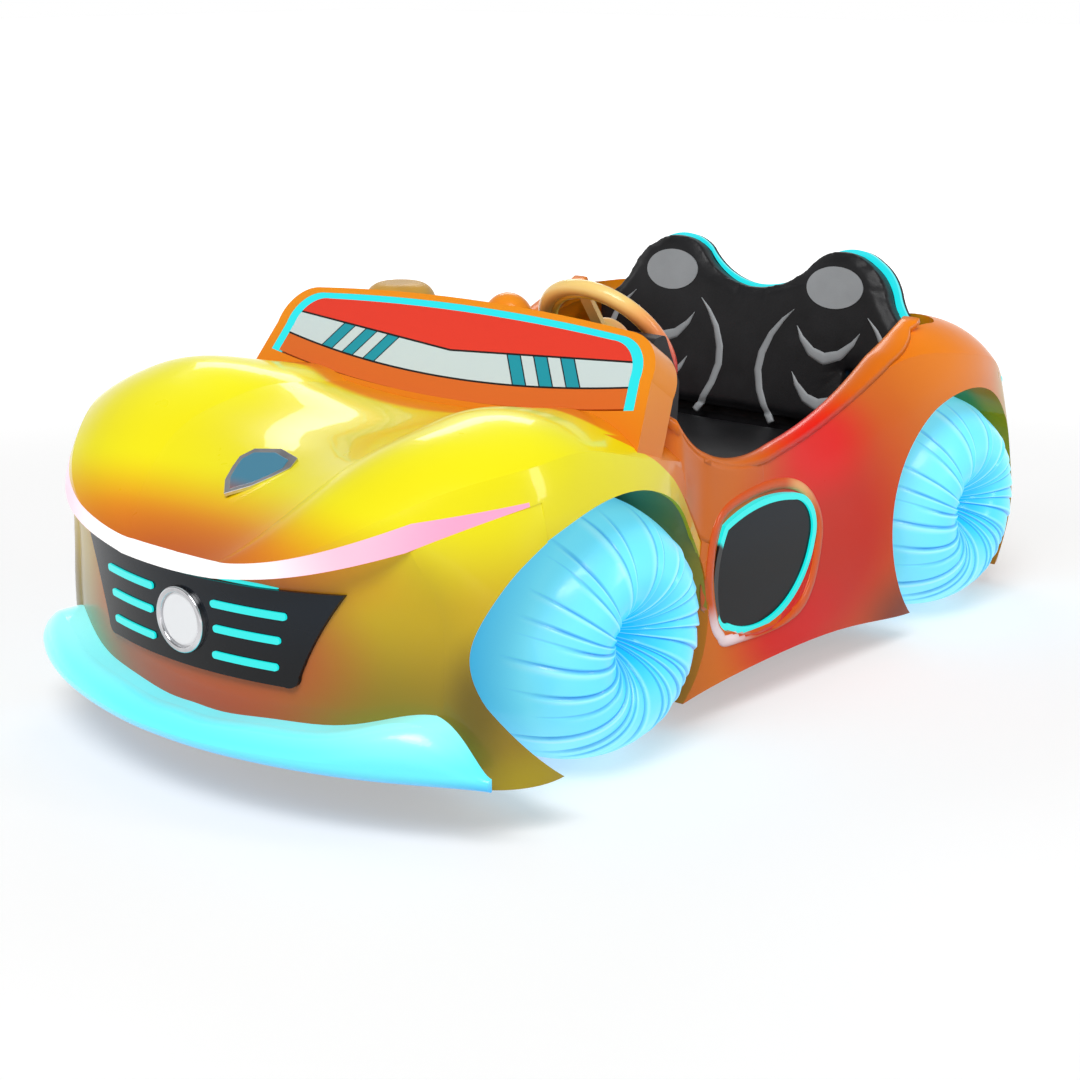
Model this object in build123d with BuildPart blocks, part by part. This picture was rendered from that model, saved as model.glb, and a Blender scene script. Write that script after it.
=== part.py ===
from build123d import *
from math import cos, radians, sin, sqrt
import os

# Two-seat battery bumper car, millimetres, front towards -Y, floor at Z = 0
os.makedirs("parts", exist_ok=True)

# Wheels and running gear
wheel_radius = 250
wheelbase = 1220
front_axle_y = -438
rear_axle_y = front_axle_y + wheelbase
tyre_ring_radius = 126        # axle to the middle of the tyre's round section
tyre_plane_x = 360            # where the tyre is widest
tyre_outer_bulge = 208
tyre_inner_bulge = 40
dimple_angle = 290            # where the round section ends, at the small closed hole in the middle
hub_radius = 80
hub_inner_x = 306
hub_outer_x = 402
stub_radius = 15
stub_gap = 0.05
kingpin_x = 262
kingpin_radius = 10
knuckle_radius = 24
knuckle_height = 90
yoke_gap = 0.5
yoke_plate = 10
steer_arm_length = 80
steer_arm_height = 14
tie_pin_radius = 7
tie_pin_gap = 6
tie_rod_radius = 10
rail_x = 190
rail_width = 50
rail_height = 50
rail_bottom_z = 95
rail_front_y = -900
rail_rear_y = 960
axle_beam_size = 50

# Body shells
wall = 9                      # moulded shell of the nose
side_wall = 40                # hollow double wall of the cockpit, as thick as the whole wall
nose_split_y = -146           # rear edge of the nose shell on the flank
sill_z = 58
seam_gap = 0.3
reach = 700                   # half-width of a cut that runs right through the car

# Seat
seat_half_width = 430
seat_front_y = 150
cushion_top_z = 400
cushion_thickness = 120
back_foot_y = 629
back_foot_z = 407
back_lean = 12.8
back_thickness = 70

# Steering wheel
steer_centre = (199, -95, 708)
steer_lean = 54.6             # angle of the column above the level
steer_ring_radius = 140
steer_ring_section = 16


def bow(a, m, b):
    """Arc from a to b through m."""
    return ThreePointArc(a, m, b)


# 1. Outer shapes of the body, as sections from the front to the back
# y, foot z, foot x, side x, side z, edge x, edge z, crest x, crest z, deck x, deck z, middle z
nose_sections = [
    (-1057, 380, 120, 122, 425, 112, 436, 84, 437, 50, 434, 432),
    (-1036, 380, 232, 236, 450, 222, 466, 172, 466, 110, 453, 442),
    (-1000, 380, 322, 334, 480, 318, 508, 250, 514, 150, 486, 463),
    (-930, 380, 408, 424, 520, 402, 558, 325, 576, 190, 540, 511),
    (-830, 380, 496, 508, 530, 480, 602, 385, 634, 220, 598, 560),
    (-700, 380, 550, 565, 515, 536, 624, 410, 672, 230, 630, 586),
    (-560, 320, 560, 577, 480, 536, 622, 405, 672, 230, 640, 598),
    (-420, 320, 552, 566, 460, 526, 584, 410, 638, 230, 622, 608),
    (-270, 320, 506, 515, 440, 498, 545, 424, 596, 260, 606, 598),
    (-180, 320, 483, 479.5, 440, 478, 519, 428, 552, 290, 596, 600),
    (-100, 320, 487, 479, 440, 475, 510, 431, 550, 294, 604, 609),
]
main_sections = [
    (-270, 60, 502, 490, 240, 482, 524, 430, 560, 290, 592, 596),
    (-180, 72, 504, 486, 260, 478, 519, 428, 552, 290, 596, 600),
    (0, 88, 516, 494, 280, 472, 501, 436, 552, 300, 614, 620),
    (180, 92, 524, 504, 300, 472, 500, 440, 576, 300, 636, 650),
    (360, 80, 530, 516, 330, 478, 560, 440, 620, 300, 650, 664),
    (520, 62, 538, 540, 380, 505, 616, 450, 654, 300, 664, 668),
    (680, 58, 540, 556, 400, 532, 612, 470, 664, 300, 660, 656),
    (820, 58, 535, 552, 390, 532, 588, 460, 645, 300, 634, 630),
    (940, 58, 515, 532, 370, 508, 544, 440, 596, 280, 592, 590),
    (1030, 58, 490, 506, 330, 480, 450, 415, 510, 270, 518, 520),
    (1092, 58, 440, 465, 300, 430, 360, 380, 400, 250, 420, 425),
]


def section(y, columns, inset, foot_lift):
    foot_z, foot_x, side_x, side_z, edge_x, edge_z, crest_x, crest_z, deck_x, deck_z, middle_z = columns
    slant = inset * 0.7
    foot = (foot_x - inset, foot_z + foot_lift)
    side = (side_x - inset, side_z)
    edge = (edge_x - slant, edge_z - slant)
    crest = (crest_x, crest_z - inset)
    deck = (deck_x, deck_z - inset)
    middle = (0, middle_z - inset)
    with BuildSketch(Plane.XZ.offset(-y)) as outline:
        with BuildLine():
            Line((-foot[0], foot[1]), foot)
            bow(foot, side, edge)
            bow(edge, crest, deck)
            bow(deck, middle, (-deck[0], deck[1]))
            bow((-deck[0], deck[1]), (-crest[0], crest[1]), (-edge[0], edge[1]))
            bow((-edge[0], edge[1]), (-side[0], side[1]), (-foot[0], foot[1]))
        make_face()
    return outline.sketch


def hull(rows, inset=0, foot_lift=0, front=0, rear=0):
    """Loft through the rows; the first and last sections move by front and rear."""
    with BuildPart() as body:
        for number, (y, *columns) in enumerate(rows):
            shift = front if number == 0 else rear if number == len(rows) - 1 else 0
            add(section(y + shift, columns, inset, foot_lift))
        loft()
    return body.part


# Plan outlines of the lower nose
# z, front y, corner x, corner y, shoulder x, shoulder y, side x, side y, rear x
fascia_plans = [
    (96, -992, 484, -866, 574, -818, 602, -706, 502),
    (170, -1009, 480, -872, 564, -822, 588, -704, 498),
    (300, -1020, 478, -876, 556, -824, 577, -698, 492),
    (420, -1018, 468, -884, 542, -828, 572, -694, 488),
    (520, -1004, 436, -918, 512, -836, 566, -694, 480),
    (580, -985, 420, -905, 492, -828, 553, -690, 472),
]


def fascia_hull(inset=0, foot=0, top=0, rear_y=nose_split_y):
    with BuildPart() as body:
        for number, (z, front_y, corner_x, corner_y, shoulder_x, shoulder_y, side_x, side_y,
                     rear_x) in enumerate(fascia_plans):
            shift = -foot if number == 0 else top if number == len(fascia_plans) - 1 else 0
            corner = (corner_x - inset * 0.6, corner_y + inset * 0.8)
            shoulder = (shoulder_x - inset * 0.8, shoulder_y + inset * 0.6)
            side = (side_x - inset, side_y)
            rear = (rear_x - inset, rear_y)
            middle = (side_x - inset - 6, (side_y + rear_y) / 2)
            with BuildSketch(Plane.XY.offset(z + shift)):
                with BuildLine():
                    bow((-corner[0], corner[1]), (0, front_y + inset), corner)
                    bow(corner, shoulder, side)
                    bow(side, middle, rear)
                    Line(rear, (-rear[0], rear_y))
                    bow((-rear[0], rear_y), (-middle[0], middle[1]), (-side[0], side[1]))
                    bow((-side[0], side[1]), (-shoulder[0], shoulder[1]), (-corner[0], corner[1]))
                make_face()
        loft()
    return body.part


# 2. Cutting shapes shared by the shells
def front_block(points, tip, y_from=-1200, y_to=0):
    """Solid below a smile-shaped line in front view, x and z, up to the tip and level beyond it."""
    (middle_x, middle_z), (end_x, end_z) = points
    tip_x, tip_z = tip
    with BuildPart() as block:
        with BuildSketch(Plane.XZ.offset(-y_from)):
            with BuildLine():
                bow((-end_x, end_z), (middle_x, middle_z), (end_x, end_z))
                Polyline((end_x, end_z), tip, (reach, tip_z), (reach, -50), (-reach, -50), (-reach, tip_z),
                         (-tip_x, tip_z), (-end_x, end_z))
            make_face()
        extrude(amount=y_from - y_to)
    return block.part


lip_tip = (556, 568)
lip_low = [(0, 425), (437, 504)]           # lower edge of the lip light in front view
lip_high = [(0, 447), (437, 550)]
lip_end_y = -738
flank_split_y = -715          # behind it the upper hull makes the whole flank
lip_depth = 34
lip_corner = (437, -911)                   # lower edge in plan
lip_front_y = -1060


def raised(points, lift):
    return [(x, z + lift) for x, z in points]


# Wheel arch outlines in side view: y, z from the wheel's centre
front_arch = [(186, -194), (292, -40), (253, 122), (155, 215), (0, 283), (-160, 286), (-330, 222),
              (-418, 90), (-405, -10), (-345, -95), (-250, -172)]
rear_arch = [(-234, -192), (-324, -5), (-174, 251), (0, 273), (189, 177), (290, 0), (205, -207)]


def arch_cutter(points, axle_y, extra, x_from, x_to):
    """Both wheel openings from one inner plane outwards, grown by extra."""
    outline = []
    for y, z in points:
        growth = 1 + extra / sqrt(y * y + z * z)
        outline.append((axle_y + y * growth, wheel_radius + z * growth))
    low_z = -60
    with BuildPart() as cutter:
        for side in (1, -1):
            with BuildSketch(Plane.YZ.offset(side * x_from)):
                with BuildLine():
                    for first in range(0, len(outline) - 2, 2):
                        bow(outline[first], outline[first + 1], outline[first + 2])
                    Polyline(outline[-1], (outline[-1][0], low_z), (outline[0][0], low_z), outline[0])
                make_face()
            extrude(amount=side * (x_to - x_from))
    return cutter.part


def side_block(points, x_from=-reach, x_to=reach):
    """Solid with the given side view, y and z, between two planes across the car."""
    with BuildPart() as block:
        with BuildSketch(Plane.YZ.offset(x_from)):
            with BuildLine():
                Polyline(*points, close=True)
            make_face()
        extrude(amount=x_to - x_from)
    return block.part


def lip_zone():
    """Space of the lip light: between its two edges in front view, and outside its back in plan."""
    corner = (lip_corner[0] - lip_depth * 0.8, lip_corner[1] + lip_depth * 0.7)
    with BuildPart() as zone:
        with BuildSketch(Plane.XY.offset(300)):
            with BuildLine():
                bow((-corner[0], corner[1]), (0, lip_front_y + lip_depth), corner)
                Polyline(corner, (lip_tip[0] - lip_depth, lip_end_y), (reach, lip_end_y), (reach, -1200),
                         (-reach, -1200), (-reach, lip_end_y), (lip_depth - lip_tip[0], lip_end_y),
                         (-corner[0], corner[1]))
            make_face()
        extrude(amount=400)
        add(front_block(lip_low, lip_tip), mode=Mode.SUBTRACT)
        add(front_block(lip_high, (lip_tip[0], lip_tip[1] + 4)), mode=Mode.INTERSECT)
    return zone.part


# 3. Windscreen: a closed printed panel in a moulded surround, with a light strip along sides and top
screen_foot = (0, -387, 618)
screen_rake = 33.4
screen_plane = Plane(origin=screen_foot, x_dir=(1, 0, 0),
                     z_dir=(0, -cos(radians(screen_rake)), sin(radians(screen_rake))))
screen_foot_half = 472
screen_foot_rise = 40
screen_top_half = 396
screen_top_rise = 178
screen_height = 194
strip_width = 22             # at the sides
strip_height = 14            # along the top
surround_border = 26
surround_rise = 13
surround_depth = 80
surround_drop = 100          # the surround runs down to the nose and the cowl
screen_depth = 10


def screen_outline(border, foot_drop=0, rise=None):
    """Face of the windscreen, grown by a border at the sides and a rise at the top."""
    rise = border if rise is None else rise
    foot = (screen_foot_half + border + foot_drop * 0.2, screen_foot_rise - foot_drop)
    side = (screen_foot_half + border - 12, screen_foot_rise + 60)
    top = (screen_top_half + border * 0.8 - 10, screen_top_rise + rise * 0.8)
    corner = (top[0] + 52, top[1] - 22)
    with BuildSketch(screen_plane) as outline:
        with BuildLine():
            bow((-foot[0], foot[1]), (0, -foot_drop), foot)
            Line(foot, side)
            bow(side, corner, top)
            bow(top, (0, screen_height + rise), (-top[0], top[1]))
            bow((-top[0], top[1]), (-corner[0], corner[1]), (-side[0], side[1]))
            Line((-side[0], side[1]), (-foot[0], foot[1]))
        make_face()
    return outline.sketch


nose_outer = hull(nose_sections)
nose_inner = hull(nose_sections, inset=wall, foot_lift=-80, front=wall, rear=40)

with BuildPart() as windscreen_surround:
    add(screen_outline(surround_border, surround_drop, surround_rise))
    extrude(amount=-surround_depth, dir=screen_plane.z_dir)
    add(screen_outline(seam_gap))
    extrude(amount=-screen_depth, dir=screen_plane.z_dir, mode=Mode.SUBTRACT)
    add(nose_outer, mode=Mode.SUBTRACT)
windscreen_surround.part.label = "windscreen_surround"
export_step(windscreen_surround.part, "parts/windscreen_surround.step")

with BuildPart() as windscreen:
    add(screen_outline(-strip_width, 0, -strip_height))
    extrude(amount=-screen_depth, dir=screen_plane.z_dir)
    add(nose_outer, mode=Mode.SUBTRACT)
windscreen.part.label = "windscreen"
export_step(windscreen.part, "parts/windscreen.step")

with BuildPart() as screen_light:
    add(screen_outline(0))
    extrude(amount=-screen_depth, dir=screen_plane.z_dir)
    add(screen_outline(seam_gap - strip_width, 20, seam_gap - strip_height))
    extrude(amount=-screen_depth, dir=screen_plane.z_dir, mode=Mode.SUBTRACT)
    add(nose_outer, mode=Mode.SUBTRACT)
screen_light.part.label = "screen_light"
export_step(screen_light.part, "parts/screen_light.step")
print("screen", [len(p.part.solids()) for p in (windscreen_surround, windscreen, screen_light)])

# 4. Nose shell: hood, front fenders and fascia in one moulding, with the lip light in its front edge
lower_outer = fascia_hull()
lower_inner = fascia_hull(inset=wall, foot=40, top=40, rear_y=nose_split_y + 40)

# The yellow nose ends at the windscreen in the middle and at this line in side view on the flanks
seam_line = [(-165, 326), (-157, 364), (-190, 410), (-239, 462), (-297, 519), (-350, 560), (-410, 600),
             (-480, 640)]
under_arch = [(-400, -100), (-400, 200)]
screen_edge_x = 474
front_well_x = 232
behind_flank = [(0, -100)] + under_arch + seam_line + [(-480, 900), (0, 900)]
under_surround_y = -332
behind_screen = [(under_surround_y, 300), (under_surround_y, 900), (0, 900), (0, 300)]

with BuildPart() as lip_light:
    add(nose_outer)
    add(lip_zone(), mode=Mode.INTERSECT)
lip_light.part.label = "lip_light"
export_step(lip_light.part, "parts/lip_light.step")
print("lip", [round(s.volume) for s in lip_light.part.solids()])

with BuildPart() as nose_shell:
    add(nose_outer)
    add(front_block(lip_low, lip_tip, y_to=flank_split_y), mode=Mode.SUBTRACT)
    with BuildPart(mode=Mode.PRIVATE) as lower:
        add(lower_outer)
        add(front_block(lip_low, lip_tip, y_to=flank_split_y), mode=Mode.INTERSECT)
    add(lower.part)
    with BuildPart(mode=Mode.PRIVATE) as upper_room:
        add(nose_inner)
        add(front_block(raised(lip_low, wall), (lip_tip[0], lip_tip[1] + wall), y_to=flank_split_y),
            mode=Mode.SUBTRACT)
    add(upper_room.part, mode=Mode.SUBTRACT)
    with BuildPart(mode=Mode.PRIVATE) as lower_room:
        add(lower_inner)
        add(front_block(raised(lip_low, wall + 1), (lip_tip[0], lip_tip[1] + wall + 1),
                        y_to=flank_split_y + 1), mode=Mode.INTERSECT)
    add(lower_room.part, mode=Mode.SUBTRACT)
    add([lip_zone(), arch_cutter(front_arch, front_axle_y, 0, front_well_x, reach),
         side_block(behind_flank, screen_edge_x, reach), side_block(behind_flank, -reach, -screen_edge_x),
         side_block(behind_screen, -screen_edge_x, screen_edge_x)],
        mode=Mode.SUBTRACT)
nose_shell.part.label = "nose_shell"
export_step(nose_shell.part, "parts/nose_shell.step")
print("nose", [round(s.volume) for s in nose_shell.part.solids()])

# 5. Cowl beside the windscreen, and the main shell: waist, rear fenders and tail
main_outer = hull(main_sections)
main_inner = hull(main_sections, inset=side_wall, foot_lift=wall, front=-60, rear=-wall)
cockpit_front_y = -274
cockpit_rear_y = 765
cockpit_half_width = 462
deck_start_y = 640
with BuildPart() as cockpit_room:
    with BuildSketch(Plane.YZ.offset(-reach)):
        with BuildLine():
            Line((cockpit_front_y, 900), (cockpit_front_y, 637))
            bow((cockpit_front_y, 637), (-112, 512), (112, 495))
            bow((112, 495), (300, 538), (479, 620))
            bow((479, 620), (560, 652), (deck_start_y, 692))
            Polyline((deck_start_y, 692), (deck_start_y, 900), (cockpit_front_y, 900))
        make_face()
    extrude(amount=2 * reach)
with BuildPart() as seat_room:
    with BuildSketch(Plane.XY.offset(400)):
        with Locations((0, cockpit_rear_y - 113)):
            Rectangle(2 * cockpit_half_width, 226)
    extrude(amount=500)
    fillet(seat_room.edges().filter_by(Axis.Z).group_by(Axis.Y)[-1], radius=60)

cowl_inner_x = 424
cockpit_inner_x = 436
cockpit_middle = side_block([(-400, 300), (-400, 900), (deck_start_y, 900), (deck_start_y, 300)],
                            -cockpit_inner_x, cockpit_inner_x)
ahead_of_seam = [(-1200, -100)] + under_arch + seam_line + [(-480, 900), (-1200, 900)]
waist_top_z = 380             # ahead of the cockpit the main shell ends here, below the cowl
ahead_of_waist = [(-1200, -100)] + under_arch + [(-165 + seam_gap, 326), (-157 + seam_gap, 364),
                                                 (-168.5 + seam_gap, waist_top_z),
                                                 (nose_split_y + seam_gap, waist_top_z),
                                                 (nose_split_y + seam_gap, 900), (-1200, 900)]

with BuildPart() as cowl:
    add(nose_outer)
    add(nose_inner, mode=Mode.SUBTRACT)
    add([side_block(ahead_of_seam, screen_edge_x, reach), side_block(ahead_of_seam, -reach, -screen_edge_x),
         side_block([(-1200, -100), (-1200, 900), (under_surround_y, 900), (under_surround_y, -100)],
                    -screen_edge_x, screen_edge_x),
         side_block([(-1200, -100), (-1200, waist_top_z), (200, waist_top_z), (200, -100)]),
         cockpit_room.part,
         side_block([(nose_split_y, -100), (nose_split_y, 900), (200, 900), (200, -100)]),
         side_block([(-600, -100), (-600, 900), (0, 900), (0, -100)], -cowl_inner_x, cowl_inner_x),
         arch_cutter(front_arch, front_axle_y, 0, front_well_x, reach)], mode=Mode.SUBTRACT)
cowl.part.label = "cowl"
export_step(cowl.part, "parts/cowl.step")
print("cowl", [round(s.volume) for s in cowl.part.solids()])

# Side panels: slanted shields set into the waist, each with a light ring
panel_centre = (497, 28, 278)
panel_turn = 4                # follows the waist, which widens to the rear
ring_width = 13
ring_depth = 14
panel_recess = 5
# Outline of a panel from its lower front corner, y and z from its centre, and the way that it grows
panel_points = [(-100, -96, -0.2, -1), (88, -86, 0.6, -0.8), (158, 20, 1, -0.1), (150, 84, 0.8, 0.6),
                (96, 116, 0.2, 1), (-20, 120, -0.1, 1), (-110, 94, -0.6, 0.8), (-136, 8, -1, 0),
                (-130, -66, -1, -0.2), (-122, -88, -0.7, -0.7)]


def panel_plane(side):
    lean = radians(panel_turn)
    return Plane(origin=(side * (panel_centre[0] - ring_depth), panel_centre[1], panel_centre[2]),
                 x_dir=(sin(lean), side * cos(lean), 0), z_dir=(side * cos(lean), -sin(lean), 0))


def panel_outline(side, grow=0):
    """Outline of a side panel on the floor of its pocket."""
    points = [((y + out_y * grow) * side, z + out_z * grow) for y, z, out_y, out_z in panel_points]
    points.append(points[0])
    with BuildSketch(panel_plane(side)) as outline:
        with BuildLine():
            for first in range(0, len(points) - 2, 2):
                bow(points[first], points[first + 1], points[first + 2])
        make_face()
    return outline.sketch


belly_half_width = 400
rear_well_x = 300
liner = 8
axle_hole_radius = 45
with BuildPart() as main_shell:
    add(main_outer)
    add(main_inner, mode=Mode.SUBTRACT)
    with BuildPart(mode=Mode.PRIVATE) as liners:
        add(arch_cutter(rear_arch, rear_axle_y, liner, rear_well_x - liner, 520))
        add(main_inner, mode=Mode.INTERSECT)
    add(liners.part)
    with BuildPart(mode=Mode.PRIVATE) as shaft_room:
        with Locations(Location((0, rear_axle_y, wheel_radius), (0, 90, 0))):
            Cylinder(axle_hole_radius, 1000)
    with BuildPart(mode=Mode.PRIVATE) as belly:
        with Locations((0, 400, sill_z)):
            Box(2 * belly_half_width, 1200, 60)
        with Locations((0, 100, sill_z)):
            Box(2 * belly_half_width, 800, 110)
    with BuildPart(mode=Mode.PRIVATE) as panel_rooms:
        for side in (1, -1):
            add(panel_outline(side, ring_width + seam_gap))
            extrude(amount=ring_depth + 40, dir=panel_plane(side).z_dir)
    add([shaft_room.part, belly.part, arch_cutter(rear_arch, rear_axle_y, 0, rear_well_x, reach),
         cockpit_room.part, cockpit_middle, seat_room.part, side_block(ahead_of_waist),
         arch_cutter(front_arch, front_axle_y, 0, front_well_x, reach)], mode=Mode.SUBTRACT)
    add(panel_rooms.part, mode=Mode.SUBTRACT)
main_shell.part.label = "main_shell"
export_step(main_shell.part, "parts/main_shell.step")
print("main", [round(s.volume) for s in main_shell.part.solids()])

with BuildPart() as side_rings:
    for side in (1, -1):
        add(panel_outline(side, ring_width))
        extrude(amount=ring_depth, dir=panel_plane(side).z_dir)
        add(panel_outline(side, seam_gap))
        extrude(amount=ring_depth, dir=panel_plane(side).z_dir, mode=Mode.SUBTRACT)
side_rings.part.label = "side_rings"
export_step(side_rings.part, "parts/side_rings.step")

with BuildPart() as side_panels:
    for side in (1, -1):
        add(panel_outline(side))
        extrude(amount=ring_depth - panel_recess, dir=panel_plane(side).z_dir)
side_panels.part.label = "side_panels"
export_step(side_panels.part, "parts/side_panels.step")
print("side", [len(p.part.solids()) for p in (side_rings, side_panels)])

# 6. Front bumper, with its top edge up against the fascia
bumper_low_z = 117
bumper_back_y = -884
bumper_underside = 38
# x, front y, front z, rounding of the top, top z
bumper_sections = [
    (0, -1092, 141, 56, 168),
    (120, -1085, 142, 55, 171),
    (240, -1063, 146, 52, 180),
    (360, -1027, 151, 48, 198),
    (446, -989, 154, 42, 221),
    (520, -944, 147, 32, 197),
    (588, -895, 128, 9, 140),
]
with BuildPart() as front_bumper:
    for x, front_y, front_z, rounding, top_z in [(-row[0], *row[1:]) for row in bumper_sections[:0:-1]] \
            + bumper_sections:
        under = min(bumper_underside, rounding)
        with BuildSketch(Plane.YZ.offset(x)):
            with BuildLine():
                bow((front_y + rounding, top_z),
                    (front_y + rounding * 0.29, top_z - (top_z - front_z) * 0.29), (front_y, front_z))
                bow((front_y, front_z), (front_y + under * 0.29, bumper_low_z + (front_z - bumper_low_z) * 0.29),
                    (front_y + under, bumper_low_z))
                Polyline((front_y + under, bumper_low_z), (bumper_back_y, bumper_low_z), (bumper_back_y, top_z),
                         (front_y + rounding, top_z))
            make_face()
    loft()
    add(lower_outer, mode=Mode.SUBTRACT)
front_bumper.part.label = "front_bumper"
export_step(front_bumper.part, "parts/front_bumper.step")
print("bumper", [round(s.volume) for s in front_bumper.part.solids()])

# 7. Grille on the fascia, set on the fascia's front arc
fascia_arc = [(-478, -876), (0, -1020), (478, -876)]
grille_thickness = 7
grille_top_z = 411
grille_bottom_z = 245
lamp_centre_z = 327
lamp_radius = 48
lamp_ring_radius = 60
bar_height = 13
# from x, to x, middle z
bars = [(76, 233, 371), (80, 220, 327), (76, 214, 279)]


def arc_band(near, far):
    """Curved slab between two offsets in front of the fascia."""
    (x0, y0), (x1, y1), (x2, y2) = fascia_arc
    with BuildPart() as band:
        with BuildSketch(Plane.XY.offset(150)):
            with BuildLine():
                bow((x0, y0 - near), (x1, y1 - near), (x2, y2 - near))
                Line((x2, y2 - near), (x2, y2 - far))
                bow((x2, y2 - far), (x1, y1 - far), (x0, y0 - far))
                Line((x0, y0 - far), (x0, y0 - near))
            make_face()
        extrude(amount=300)
    return band.part


with BuildPart() as grille_panel:
    with BuildSketch(Plane.XZ.offset(800)):
        with BuildLine():
            bow((-334, 420), (0, grille_top_z), (334, 420))
            bow((334, 420), (282, 336), (250, 266))
            bow((250, 266), (241, 248), (222, grille_bottom_z))
            Line((222, grille_bottom_z), (-222, grille_bottom_z))
            bow((-222, grille_bottom_z), (-241, 248), (-250, 266))
            bow((-250, 266), (-282, 336), (-334, 420))
        make_face()
        with Locations((0, lamp_centre_z)):
            Circle(lamp_ring_radius + seam_gap, mode=Mode.SUBTRACT)
    extrude(amount=400)
    add(arc_band(-8, grille_thickness), mode=Mode.INTERSECT)
    add(lower_outer, mode=Mode.SUBTRACT)
grille_panel.part.label = "grille_panel"
export_step(grille_panel.part, "parts/grille_panel.step")

with BuildPart() as grille_lights:
    with BuildSketch(Plane.XZ.offset(800)):
        for side in (1, -1):
            for from_x, to_x, middle_z in bars:
                with Locations((side * (from_x + to_x) / 2, middle_z)):
                    RectangleRounded(to_x - from_x, bar_height, bar_height / 2 - 0.5)
    extrude(amount=400)
    add(arc_band(grille_thickness, grille_thickness + 4), mode=Mode.INTERSECT)
grille_lights.part.label = "grille_lights"
export_step(grille_lights.part, "parts/grille_lights.step")

lamp_back_y = -1010
lamp_depth = 26
with BuildPart() as lamp_ring:
    with BuildSketch(Plane.XZ.offset(-lamp_back_y)):
        with Locations((0, lamp_centre_z)):
            Circle(lamp_ring_radius)
            Circle(lamp_radius + seam_gap, mode=Mode.SUBTRACT)
    extrude(amount=lamp_depth)
    fillet(lamp_ring.edges().group_by(Axis.Y)[0], radius=4)
    add(lower_outer, mode=Mode.SUBTRACT)
lamp_ring.part.label = "lamp_ring"
export_step(lamp_ring.part, "parts/lamp_ring.step")

with BuildPart() as lamp_lens:
    with BuildSketch(Plane.XZ.offset(-lamp_back_y)):
        with Locations((0, lamp_centre_z)):
            Circle(lamp_radius)
    extrude(amount=lamp_depth - 4)
    fillet(lamp_lens.edges().group_by(Axis.Y)[0], radius=6)
    add(lower_outer, mode=Mode.SUBTRACT)
lamp_lens.part.label = "lamp_lens"
export_step(lamp_lens.part, "parts/lamp_lens.step")
print("grille", [len(p.part.solids()) for p in (grille_panel, grille_lights, lamp_ring, lamp_lens)])

# 8. Dashboard, steering column and steering wheel
dash_half_width = 392
dash_outline = [(-318, 545), (-196, 748), (-165, 752), (-118, 655), (-124, 560), (-150, 540)]
steer_plane = Plane(origin=steer_centre, x_dir=(1, 0, 0),
                    z_dir=(0, sin(radians(steer_lean)), cos(radians(steer_lean))))
column_radius = 28
column_top = 34               # below the wheel's plane
column_length = 150
shaft_radius = 12
shaft_gap = 0.05
with BuildPart() as dashboard:
    add(side_block(dash_outline, -dash_half_width, dash_half_width))
    fillet(dashboard.edges().filter_by(Axis.X).group_by(Axis.Z)[-2:], radius=12)
    with BuildPart(mode=Mode.PRIVATE) as dash_room:
        add(side_block([(-302, 540), (-196, 730), (-172, 734), (-132, 652), (-138, 560), (-150, 500),
                        (-302, 500)], wall - dash_half_width, dash_half_width - wall))
    add(dash_room.part, mode=Mode.SUBTRACT)
    with BuildSketch(steer_plane):
        Circle(column_radius + seam_gap)
    extrude(amount=-400, mode=Mode.SUBTRACT)
    add(windscreen_surround.part, mode=Mode.SUBTRACT)
dashboard.part.label = "dashboard"
export_step(dashboard.part, "parts/dashboard.step")

with BuildPart() as steering_column:
    with BuildSketch(steer_plane.offset(-column_top)):
        Circle(column_radius)
        Circle(shaft_radius + shaft_gap, mode=Mode.SUBTRACT)
    extrude(amount=-column_length)
steering_column.part.label = "steering_column"
export_step(steering_column.part, "parts/steering_column.step")

spoke_width = 26
spoke_thickness = 10
boss_radius = 44
boss_thickness = 22
shaft_length = column_top + column_length - 10
with BuildPart(steer_plane) as steering_wheel:
    Torus(steer_ring_radius, steer_ring_section)
    Cylinder(boss_radius, boss_thickness)
    with PolarLocations((boss_radius + steer_ring_radius) / 2, 3, start_angle=-90):
        Box(steer_ring_radius - boss_radius + 6, spoke_width, spoke_thickness)
    with Locations((0, 0, -shaft_length / 2)):
        Cylinder(shaft_radius, shaft_length)
steering_wheel.part.label = "steering_wheel"
export_step(steering_wheel.part, "parts/steering_wheel.step")

with BuildPart() as wheel_cap:
    with BuildSketch(steer_plane.offset(boss_thickness / 2)):
        Circle(boss_radius - 4)
    extrude(amount=20)
    fillet(wheel_cap.edges().group_by(Axis.Z)[-1], radius=12)
wheel_cap.part.label = "wheel_cap"
export_step(wheel_cap.part, "parts/wheel_cap.step")

# Low pod on the passenger's side of the dashboard
pod_centre = (-300, -158)
pod_radius = 74
with BuildPart() as dash_pod:
    with BuildSketch(Plane.XY.offset(690)):
        with Locations(pod_centre):
            Circle(pod_radius)
    extrude(amount=92)
    fillet(dash_pod.edges().group_by(Axis.Z)[-1], radius=40)
    add(side_block(dash_outline, -dash_half_width, dash_half_width), mode=Mode.SUBTRACT)
    add(windscreen_surround.part, mode=Mode.SUBTRACT)
dash_pod.part.label = "dash_pod"
export_step(dash_pod.part, "parts/dash_pod.step")
print("dash", [len(p.part.solids()) for p in (dashboard, steering_column, steering_wheel, wheel_cap, dash_pod)])

# 9. Seat: T-shaped cushion between the rear wheel arches, on its base; double back in a hard shell
arch_half_width = 284         # clear width between the rear wheel arches
seat_shoulder_y = 440
cushion_bottom_z = cushion_top_z - cushion_thickness
floor_z = rail_bottom_z + rail_height
floor_thickness = 6
seat_base_inset = 18
cushion_radius = 26


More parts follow.
